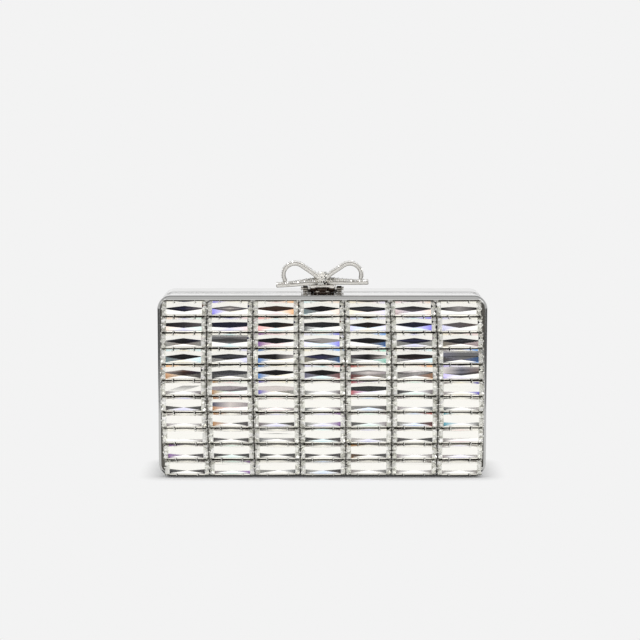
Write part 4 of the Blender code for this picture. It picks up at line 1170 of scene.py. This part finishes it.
placements = {}
stone_random = random.Random(24)
for column in range(COLUMNS):
    bm = bmesh.new()
    layer = bm.loops.layers.float_color.new("painted_facet_reflection")
    for row, place in enumerate(column_places(column)):
        placements[column, row] = hand_set(stone_random, place)
        add_stone(bm, layer, stone_random, row, placements[column, row])
    bmesh.ops.remove_doubles(bm, verts=bm.verts, dist=WELD)
    add_piece(f"crystals_{column + 1}", bm, [GLASS, FOIL], "front_half",
              [f"crystal_column_{column + 1}"], 0)
print("stones set:", len(placements))

# %% [markdown]
# ## Claw settings
#
# Under each column lies a ladder of square bars, and from it rise the claws: two on each long
# side of a stone and one on each short side. A claw ends in a small bead that was pushed over
# the stone's edge. Beads are low spheres of a few dozen faces, because there are hundreds.

# %% Ladders and claws
CLAW_SHARE = 0.235
CLAW_GAP = 0.2 * MM
CLAW_POST = 0.18 * MM
CLAW_FOOT = 0.3 * MM
CLAW_TIP_Y = -0.95 * MM
LONG_SIDE_LEAN = 0.9 * MM
SHORT_SIDE_LEAN = 0.5 * MM
BEAD = 0.5 * MM
FRAME_FRONT_Y = -20.8 * MM
RAIL_BACK_Y = -19.9 * MM
RAIL = 1.1 * MM
RAIL_FRONT_Y = -21.4 * MM
RAIL_ROUND = 0.1 * MM
END_RUNG = 0.55 * MM


def add_claw(bm, placement, x, z, lean_x, lean_z):
    """Post from the ladder to a bead that leans over the stone's edge."""
    root = placement @ Vector((x, 0, z))
    add_box(bm, (root.x - CLAW_POST, GIRDLE_Y - CLAW_FOOT, root.z - CLAW_POST),
            (root.x + CLAW_POST, FRAME_FRONT_Y + CLAW_FOOT, root.z + CLAW_POST))
    tip = placement @ Vector((x + lean_x, CLAW_TIP_Y, z + lean_z))
    size = Matrix.Diagonal((1.0, 0.9, 1.0, 1))
    bmesh.ops.create_uvsphere(bm, u_segments=8, v_segments=5, radius=BEAD,
                              matrix=Matrix.Translation(tip) @ size)


def build_setting(column):
    low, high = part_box(f"claw_frame_{column + 1}")
    places = column_places(column)
    half_pitch = (places[0].z - places[1].z) / 2
    bm = bmesh.new()
    for row, place in enumerate(places):
        left = bend_row(row, low.x)
        right = bend_row(row, high.x)
        for start in (left, right - RAIL):
            add_box(bm, (start, RAIL_FRONT_Y, place.z - half_pitch),
                    (start + RAIL, RAIL_BACK_Y, place.z + half_pitch), RAIL_ROUND, 1)
        if row < ROWS - 1:
            add_box(bm, (left + RAIL, FRAME_FRONT_Y, place.z - half_pitch - RAIL / 2),
                    (right - RAIL, high.y, place.z - half_pitch + RAIL / 2), RAIL_ROUND, 1)
    for row, way in ((0, 1), (ROWS - 1, -1)):
        z = places[row].z + way * (STONE_HEIGHT / 2 + CLAW_GAP)
        add_box(bm, (bend_row(row, low.x) + RAIL, FRAME_FRONT_Y, z - END_RUNG / 2),
                (bend_row(row, high.x) - RAIL, RAIL_BACK_Y, z + END_RUNG / 2), RAIL_ROUND, 1)
    for row in range(ROWS):
        placement = placements[column, row]
        for side in (-1, 1):
            x = side * CLAW_SHARE * STONE_LENGTH
            for up in (-1, 1):
                add_claw(bm, placement, x, up * (STONE_HEIGHT / 2 + CLAW_GAP), 0,
                         -up * LONG_SIDE_LEAN)
            add_claw(bm, placement, side * (STONE_LENGTH / 2 + 0.3 * MM), 0,
                     -side * SHORT_SIDE_LEAN, 0)
    bmesh.ops.recalc_face_normals(bm, faces=bm.faces)
    add_piece(f"claw_setting_{column + 1}", bm, [CLAW_METAL_PAINTED_SHADE], "front_half",
              [f"claw_frame_{column + 1}"], 50)


for column in range(COLUMNS):
    build_setting(column)
print("claws:", COLUMNS * ROWS * 6)

# %% [markdown]
# ## Ribbons of the bow
#
# The bow is bent from flat bar, 7 mm wide. A short chain of edges follows its line: up from
# the knot, round the loop and down to the tail. The chain is extruded to the ribbon's width,
# and Solidify and Bevel give it thickness and round edges. The inner side and the round edges
# take a darker copy of the plating, which is painted shade. The tails are twisted next
# to the knot, so that their stones lean towards whoever looks at the case from the front.
# A curve with a bevel object would do too, but the chain also tells where the stones stand.

# %% Bow ribbons
TOP_Z = CASE_HIGH.z
RIBBON_LOW, RIBBON_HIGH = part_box("bow_tail_left")
RIBBON_WIDTH = RIBBON_HIGH.y - RIBBON_LOW.y
RIBBON_THICKNESS = 1.9 * MM
RIBBON_ROUND = 0.36 * MM
LOOP_RADIUS = 6.2 * MM
LOOP_CENTRE = Vector((15.2 * MM, 9.6 * MM))
LOOP_GAP = 0.2 * MM
ARM_START = Vector((2.0 * MM, 7.4 * MM))
ARM_LEAN = Vector((1.9 * MM, 2.5 * MM))
ARM_PULL = 3.6 * MM
ARM_STEPS = 14
ARC_START = math.radians(126)
ARC_STEPS = 36
TAIL_ROOT = Vector((2.4 * MM, 6.0 * MM))
TAIL_REACH = 25.5 * MM
TAIL_TIPS = {"left": 3.6 * MM, "right": 5.3 * MM}
TAIL_STEPS = 20
TAIL_TWIST = 1.1 * MM
TAIL_BOW = 0.5 * MM
SIDES = (("left", -1), ("right", 1))


def tail_points(label):
    """Tail of the bow, from the knot outwards, as (distance from the middle, height, twist)."""
    tip = Vector((TAIL_REACH, TAIL_TIPS[label]))
    points = []
    for step in range(TAIL_STEPS + 1):
        share = step / TAIL_STEPS
        point = TAIL_ROOT.lerp(tip, share)
        sag = -TAIL_BOW * math.sin(math.pi * share)
        points.append((point.x, point.y + sag * share, TAIL_TWIST * (1 - share) ** 2))
    return points


def arc_point(angle):
    return LOOP_CENTRE + LOOP_RADIUS * Vector((math.cos(angle), math.sin(angle)))


def loop_points(label):
    """Loop of the bow: its arm, the arc, and the end that lands on the tail."""
    along = Vector((math.sin(ARC_START), -math.cos(ARC_START)))
    arm = interpolate_bezier(ARM_START, ARM_START + ARM_LEAN,
                             arc_point(ARC_START) - along * ARM_PULL, arc_point(ARC_START),
                             ARM_STEPS)
    landing = min(tail_points(label),
                  key=lambda point: abs(point[0] - LOOP_CENTRE.x - LOOP_RADIUS))[1]
    last = math.asin((landing + RIBBON_THICKNESS + LOOP_GAP - LOOP_CENTRE.y) / LOOP_RADIUS)
    arc = [arc_point(ARC_START + (last - ARC_START) * step / ARC_STEPS)
           for step in range(1, ARC_STEPS + 1)]
    return [(point.x, point.y, 0.0) for point in arm + arc]


def build_ribbon(name, node, points, side):
    """Flat bar along a line of points, mirrored to its own side of the bow."""
    bm = bmesh.new()
    chain = [bm.verts.new((side * x, RIBBON_LOW.y, TOP_Z + height - twist))
             for x, height, twist in points]
    edges = [bm.edges.new(pair) for pair in zip(chain, chain[1:])]
    bmesh.ops.extrude_edge_only(bm, edges=edges)
    bm.verts.ensure_lookup_table()
    for vert, (x, height, twist) in zip(bm.verts[len(points):], points):
        vert.co = (side * x, RIBBON_HIGH.y, TOP_Z + height + twist)
    bmesh.ops.recalc_face_normals(bm, faces=bm.faces)
    if sum(face.normal.z for face in bm.faces) < 0:
        bmesh.ops.reverse_faces(bm, faces=bm.faces)
    ribbon = add_piece(name, bm, [BOW_PLATE, BOW_PAINTED_SHADE], "bow_lever", [node])
    wall = ribbon.modifiers.new("thickness", 'SOLIDIFY')
    wall.thickness = RIBBON_THICKNESS
    wall.offset = 0
    wall.use_even_offset = True
    # The inner side and the bevelled edges take the dark plate, which is painted shade.
    wall.material_offset = 1
    soft = ribbon.modifiers.new("soft_edges", 'BEVEL')
    soft.width = RIBBON_ROUND
    soft.segments = 4
    soft.material = 1
    soft.limit_method = 'ANGLE'
    soft.angle_limit = math.radians(40)


for label, side in SIDES:
    build_ribbon(f"loop_ribbon_{label}", f"bow_loop_{label}", loop_points(label), side)
    build_ribbon(f"tail_ribbon_{label}", f"bow_tail_{label}", tail_points(label), side)
print("ribbons bent")

# %% [markdown]
# ## Small stones on the bow
#
# The outer face of every ribbon is covered with round stones of about 1.2 mm in offset rows,
# with a bead of metal between them. Each stone is a low cone of eight sides with a table, so
# that hundreds of them stay light. They are placed by walking along the ribbon's line, and
# each one leans by a little and has light and dark facets painted in as reflections, which
# makes the whole glitter.

# %% Pave the bow
PAVE_PITCH = 1.30 * MM
ROW_PITCH = PAVE_PITCH * 0.9
PAVE_RADIUS = 0.60 * MM
PAVE_TABLE = 0.38 * MM
PAVE_HEIGHT = 0.62 * MM
PAVE_LIFT = 0.24 * MM
PAVE_LEAN = 0.16
PAVE_ROWS = 5
# Painted reflections of the small stones: one tone for each stone, times one for each facet.
STONE_TONES = (1.0, 0.9, 0.40, 0.14, 0.06)
PAVE_TONES = (1.0, 1.0, 0.6, 0.3)
METAL_BEAD = 0.19 * MM
BEAD_LIFT = 0.1 * MM
pave_random = random.Random(7)


def walk(points, pitch):
    """Evenly spaced places on a line: distance, height, twist, and the line's direction."""
    places = []
    wanted = pitch / 2
    passed = 0.0
    for start, end in zip(points, points[1:]):
        way = Vector(end) - Vector(start)
        length = way.xy.length
        while wanted <= passed + length:
            place = Vector(start) + way * (wanted - passed) / length
            places.append((*place, way.xy / length))
            wanted += pitch
        passed += length
    return places


def add_pave_stone(bm, layer, rng, place, normal):
    """Low eight-sided brilliant with its own lean and painted reflection."""
    lean = Vector([rng.uniform(-PAVE_LEAN, PAVE_LEAN) for axis in range(3)])
    turn = Vector((0, 0, 1)).rotation_difference(normal + lean).to_matrix().to_4x4()
    spin = Matrix.Rotation(rng.uniform(0, math.pi / 4), 4, 'Z')
    first_face = len(bm.faces)
    bmesh.ops.create_cone(bm, cap_ends=True, segments=8, radius1=PAVE_RADIUS,
                          radius2=PAVE_TABLE, depth=PAVE_HEIGHT,
                          matrix=Matrix.Translation(place + normal * PAVE_LIFT) @ turn @ spin)
    bm.faces.ensure_lookup_table()
    stone_tone = rng.choice(STONE_TONES)
    for face in bm.faces[first_face:]:
        tone = stone_tone * rng.choice(PAVE_TONES)
        for loop in face.loops:
            loop[layer] = (tone, tone * 0.99, tone * 0.95, 1)


def add_pave_row(bm, layer, rng, place, normal, across, count):
    """One row of stones across the ribbon, with a bead of metal between two."""
    for index in range(count):
        shift = (index - (count - 1) / 2) * PAVE_PITCH
        add_pave_stone(bm, layer, rng, place + across * shift, normal)
        if index == count - 1:
            break
        bead = place + across * (shift + PAVE_PITCH / 2) + normal * BEAD_LIFT
        first_face = len(bm.faces)
        bmesh.ops.create_icosphere(bm, subdivisions=1, radius=METAL_BEAD,
                                   matrix=Matrix.Translation(bead))
        bm.faces.ensure_lookup_table()
        for face in bm.faces[first_face:]:
            face.material_index = 1


def pave(name, rows):
    """Piece with rows of stones, each given as (place, normal, direction across, count)."""
    bm = bmesh.new()
    layer = bm.loops.layers.float_color.new("painted_facet_reflection")
    for row in rows:
        add_pave_row(bm, layer, pave_random, *row)
    bmesh.ops.recalc_face_normals(bm, faces=bm.faces)
    piece = add_piece(name, bm, [PAVE, BOW_PLATE], "bow_lever", sharp_degrees=0)
    print(name, "faces:", len(piece.data.polygons))


def ribbon_rows(points, side):
    """Rows of stones along the outer face of a ribbon."""
    middle_y = (RIBBON_LOW.y + RIBBON_HIGH.y) / 2
    rows = []
    for number, (x, height, twist, way) in enumerate(walk(points, ROW_PITCH)):
        across = Vector((0, RIBBON_WIDTH, 2 * twist)).normalized()
        normal = Vector((side * way.x, 0, way.y)).cross(across) * side
        place = Vector((side * x, middle_y, TOP_Z + height)) + normal * RIBBON_THICKNESS / 2
        rows.append((place, normal, across, PAVE_ROWS if number % 2 else PAVE_ROWS - 1))
    return rows


for label, side in SIDES:
    pave(f"loop_stones_{label}", ribbon_rows(loop_points(label), side))
    pave(f"tail_stones_{label}", ribbon_rows(tail_points(label), side))

# %% [markdown]
# ## Knot
#
# The knot is a short wrap of the same bar, paved as well. It is a box with wide round edges,
# and its stones stand on a grid on the front, the top and the back. Below it, the end of the
# wrap comes out in front, where it is soldered to the lever.

# %% Knot
KNOT_ROUND = 1.9 * MM
KNOT_ROWS = 4
WRAP_DEGREES = range(-60, 241, 6)


def round_place(angle, inner):
    """Place on a circle of the knot's rounding, moved out from the middle by inner."""
    return math.copysign(inner, angle) + KNOT_ROUND * angle


def build_knot():
    low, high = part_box("bow_knot")
    bm = bmesh.new()
    add_box(bm, low, high, KNOT_ROUND, 6)
    add_box(bm, (-2.6 * MM, low.y + 0.2 * MM, TOP_Z + 3.9 * MM),
            (0.9 * MM, low.y + 2.0 * MM, low.z + 1.2 * MM), 0.25 * MM)
    add_piece("knot_wrap", bm, [BOW_PLATE], "bow_lever", ["bow_knot"])
    inner = (high - low) / 2 - Vector((KNOT_ROUND,) * 3)
    outline = [(round_place(math.cos(math.radians(degrees)), inner.y),
                round_place(math.sin(math.radians(degrees)), inner.z), 0.0)
               for degrees in WRAP_DEGREES]
    pave("knot_stones", [((low + high) / 2 + Vector((0, y, z)), Vector((0, way.y, -way.x)),
                          Vector((1, 0, 0)), KNOT_ROWS - number % 2)
                         for number, (y, z, twist, way) in enumerate(walk(outline, ROW_PITCH))])


build_knot()
print("knot made")

# %% [markdown]
# ## Clasp hinge
#
# The bow stands on a small block that turns on a pin. Round parts are bars with rounded rims,
# because a turned part always has its sharp corner taken off. The block, its ears and the end
# knuckles are each one piece, as they are on the real clasp. The sides and sleeves of the block
# are black lacquer as painted shade under the bow.

# %% Saddle and ears
PIN_LOW, PIN_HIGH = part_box("clasp_pin")
PIN_Y = (PIN_LOW.y + PIN_HIGH.y) / 2
PIN_Z = (PIN_LOW.z + PIN_HIGH.z) / 2
SADDLE_UNDERSIDE = TOP_Z + 2.0 * MM
SLEEVE_RADIUS = 1.35 * MM
EAR_RADIUS = 1.3 * MM
FOOT_EDGE = 0.12 * MM


def pin_bar(bm, radius, start, end, rounding=0.0, sides=40):
    """Round part on the pin's axis, between two places across the case in either order."""
    start, end = sorted((start, end))
    add_bar(bm, radius, (start, PIN_Y, PIN_Z), (end, PIN_Y, PIN_Z), sides, rounding)


def mark_faces(bm):
    """Give all faces so far the second material; later ones keep the first."""
    for face in bm.faces:
        face.material_index = 1


def build_saddle():
    low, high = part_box("lever_saddle")
    bm = bmesh.new()
    for side in (-1, 1):
        start, end = sorted((side * 3.0 * MM, side * high.x))
        add_box(bm, (start, low.y + 0.4 * MM, TOP_Z + 0.9 * MM), (end, PIN_Y, high.z - MM),
                0.45 * MM, 4)
        pin_bar(bm, SLEEVE_RADIUS, side * 2.1 * MM, side * high.x, 0.15 * MM)
    # The side blocks and sleeves so far take black lacquer, which is painted shade under the bow.
    mark_faces(bm)
    add_box(bm, (low.x, low.y, SADDLE_UNDERSIDE), high, 0.8 * MM, 6)
    add_piece("saddle_block", bm, [SATIN_PLATE, LACQUERED_STEEL], "bow_lever",
              ["lever_saddle"])


def build_ear(label):
    node = f"bow_post_{label}"
    low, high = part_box(node)
    bm = bmesh.new()
    pin_bar(bm, EAR_RADIUS, low.x, high.x, FOOT_EDGE)
    add_box(bm, (low.x, low.y, PIN_Z), high, FOOT_EDGE, 2)
    add_piece(f"ear_{label}", bm, [BOW_PLATE], "bow_lever", [node])


build_saddle()
for label, side in SIDES:
    build_ear(label)
print("saddle and ears made")

# %% [markdown]
# ## Foot, pin and spring
#
# The foot is riveted to the case and carries the end knuckles, and the pin runs through all
# of them. The knuckles are painted dark as shade, and a thin black sheet of painted shade lies
# under the foot. The spring is the imported one, because it is already a finely wound wire.

# %% Foot, pin and spring
PIN_RADIUS = 0.6 * MM
PIN_HEAD_RADIUS = 1.1 * MM
PIN_HEAD_START = 11.1 * MM
KNUCKLE_RADIUS = 1.45 * MM
KNUCKLE_START = 8.0 * MM
FOOT_TOP = TOP_Z + 0.8 * MM


def build_clasp_foot():
    """Plate with its end knuckles, and under it a thin black sheet of painted shade."""
    low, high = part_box("clasp_base")
    bm = bmesh.new()
    # Thin black sheet of painted shade, where the clasp's shadow falls on the case.
    add_box(bm, (-KNUCKLE_START, low.y - 0.6 * MM, TOP_Z + 0.02 * MM),
            (KNUCKLE_START, PIN_Y + 2.4 * MM, low.z - 0.02 * MM))
    mark_faces(bm)
    add_box(bm, (low.x, PIN_Y + 2.2 * MM, low.z), (high.x, high.y, FOOT_TOP), FOOT_EDGE, 2)
    for side in (-1, 1):
        start, end = sorted((side * KNUCKLE_START, side * high.x))
        add_box(bm, (start, low.y, low.z), (end, PIN_Y + 2.4 * MM, FOOT_TOP), FOOT_EDGE, 2)
        pin_bar(bm, KNUCKLE_RADIUS, start, end, 0.2 * MM)
    add_piece("clasp_foot", bm, [KNUCKLE_PAINTED_SHADE, LACQUERED_STEEL], "back_half",
              ["clasp_base"])


def build_clasp_pin():
    bm = bmesh.new()
    pin_bar(bm, PIN_RADIUS, PIN_LOW.x, PIN_HIGH.x, sides=24)
    for side in (-1, 1):
        pin_bar(bm, PIN_HEAD_RADIUS, side * PIN_HEAD_START, side * PIN_HIGH.x, 0.3 * MM, 32)
    add_piece("clasp_pin_turned", bm, [BOW_PLATE], "back_half", ["clasp_pin"])


def build_clasp_spring():
    """Packed spring from the imported model, with its doubled corners merged."""
    bm = bmesh.new()
    bm.from_mesh(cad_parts["clasp_spring"].data)
    bmesh.ops.remove_doubles(bm, verts=bm.verts, dist=0.001 * MM)
    wire = add_piece("clasp_spring_wire", bm, [LACQUERED_STEEL], None,
                     ["clasp_spring"], 60)
    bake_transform(wire)


build_clasp_foot()
build_clasp_pin()
build_clasp_spring()
print("clasp foot, pin and spring made")

# %% [markdown]
# ## Bottom hinge
#
# The halves swing on a long barrel hinge. Its knuckles belong in turn to the back leaf and the
# front leaf. Each leaf is one piece: a plate inside its half, teeth that reach to the barrel,
# and its own knuckles.

# %% Hinge leaves
HINGE_LOW, HINGE_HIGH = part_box("hinge_pin")
HINGE_Y = (HINGE_LOW.y + HINGE_HIGH.y) / 2
HINGE_Z = (HINGE_LOW.z + HINGE_HIGH.z) / 2
HINGE_LENGTH = 156.0 * MM
KNUCKLES = 9
KNUCKLE_PITCH = HINGE_LENGTH / KNUCKLES
KNUCKLE_GAP = 0.3 * MM
BARREL_RADIUS = 2.1 * MM
LEAF_BOTTOM = 1.5 * MM
LEAF_TOP = 2.3 * MM


def add_leaf_box(bm, ends, depths, rounding, segments):
    """Box of the leaf's thickness between two places across and two in depth, in any order."""
    add_box(bm, (ends[0], min(depths), LEAF_BOTTOM), (ends[1], max(depths), LEAF_TOP),
            rounding, segments)


def build_leaf(name, node, body, side, first):
    low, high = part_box(node)
    near = HINGE_Y + side * (BARREL_RADIUS + KNUCKLE_GAP)
    bm = bmesh.new()
    add_leaf_box(bm, (-HINGE_LENGTH / 2, HINGE_LENGTH / 2),
                 (near, high.y if side > 0 else low.y), 0.15 * MM, 2)
    for index in range(first, KNUCKLES, 2):
        start = -HINGE_LENGTH / 2 + index * KNUCKLE_PITCH + KNUCKLE_GAP / 2
        end = start + KNUCKLE_PITCH - KNUCKLE_GAP
        add_bar(bm, BARREL_RADIUS, (start, HINGE_Y, HINGE_Z), (end, HINGE_Y, HINGE_Z), 48,
                0.2 * MM)
        add_leaf_box(bm, (start, end), (HINGE_Y + side * BARREL_RADIUS / 2, near + side * MM),
                     0.1 * MM, 1)
    add_piece(name, bm, [POLISHED], body, [node])


build_leaf("back_leaf_knuckles", "back_hinge_leaf", "back_half", 1, 0)
build_leaf("front_leaf_knuckles", "front_hinge_leaf", "front_half", -1, 1)
print("hinge leaves made")

# %% [markdown]
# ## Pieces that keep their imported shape
#
# Flat plates and small rivets are already right. They stay as they are and only take a
# finish: a piece that is good enough is not made twice.

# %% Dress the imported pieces
FINISHES = {"front_stone_plate": GUNMETAL, "back_cover": BRUSHED, "hinge_pin": POLISHED,
            "striker_plate": LACQUERED_STEEL, "latch_tongue": LACQUERED_STEEL,
            "tongue_rivet": BOW_PLATE}
for label, side in SIDES:
    FINISHES[f"striker_rivet_{label}"] = KNUCKLE_PAINTED_SHADE
    FINISHES[f"clasp_rivet_{label}"] = BOW_PLATE
    for half in ("front", "back"):
        FINISHES[f"{half}_hinge_rivet_{label}"] = POLISHED
for node, material in FINISHES.items():
    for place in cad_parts[node].material_slots:
        place.material = material
print("packed pieces dressed:", len(FINISHES))
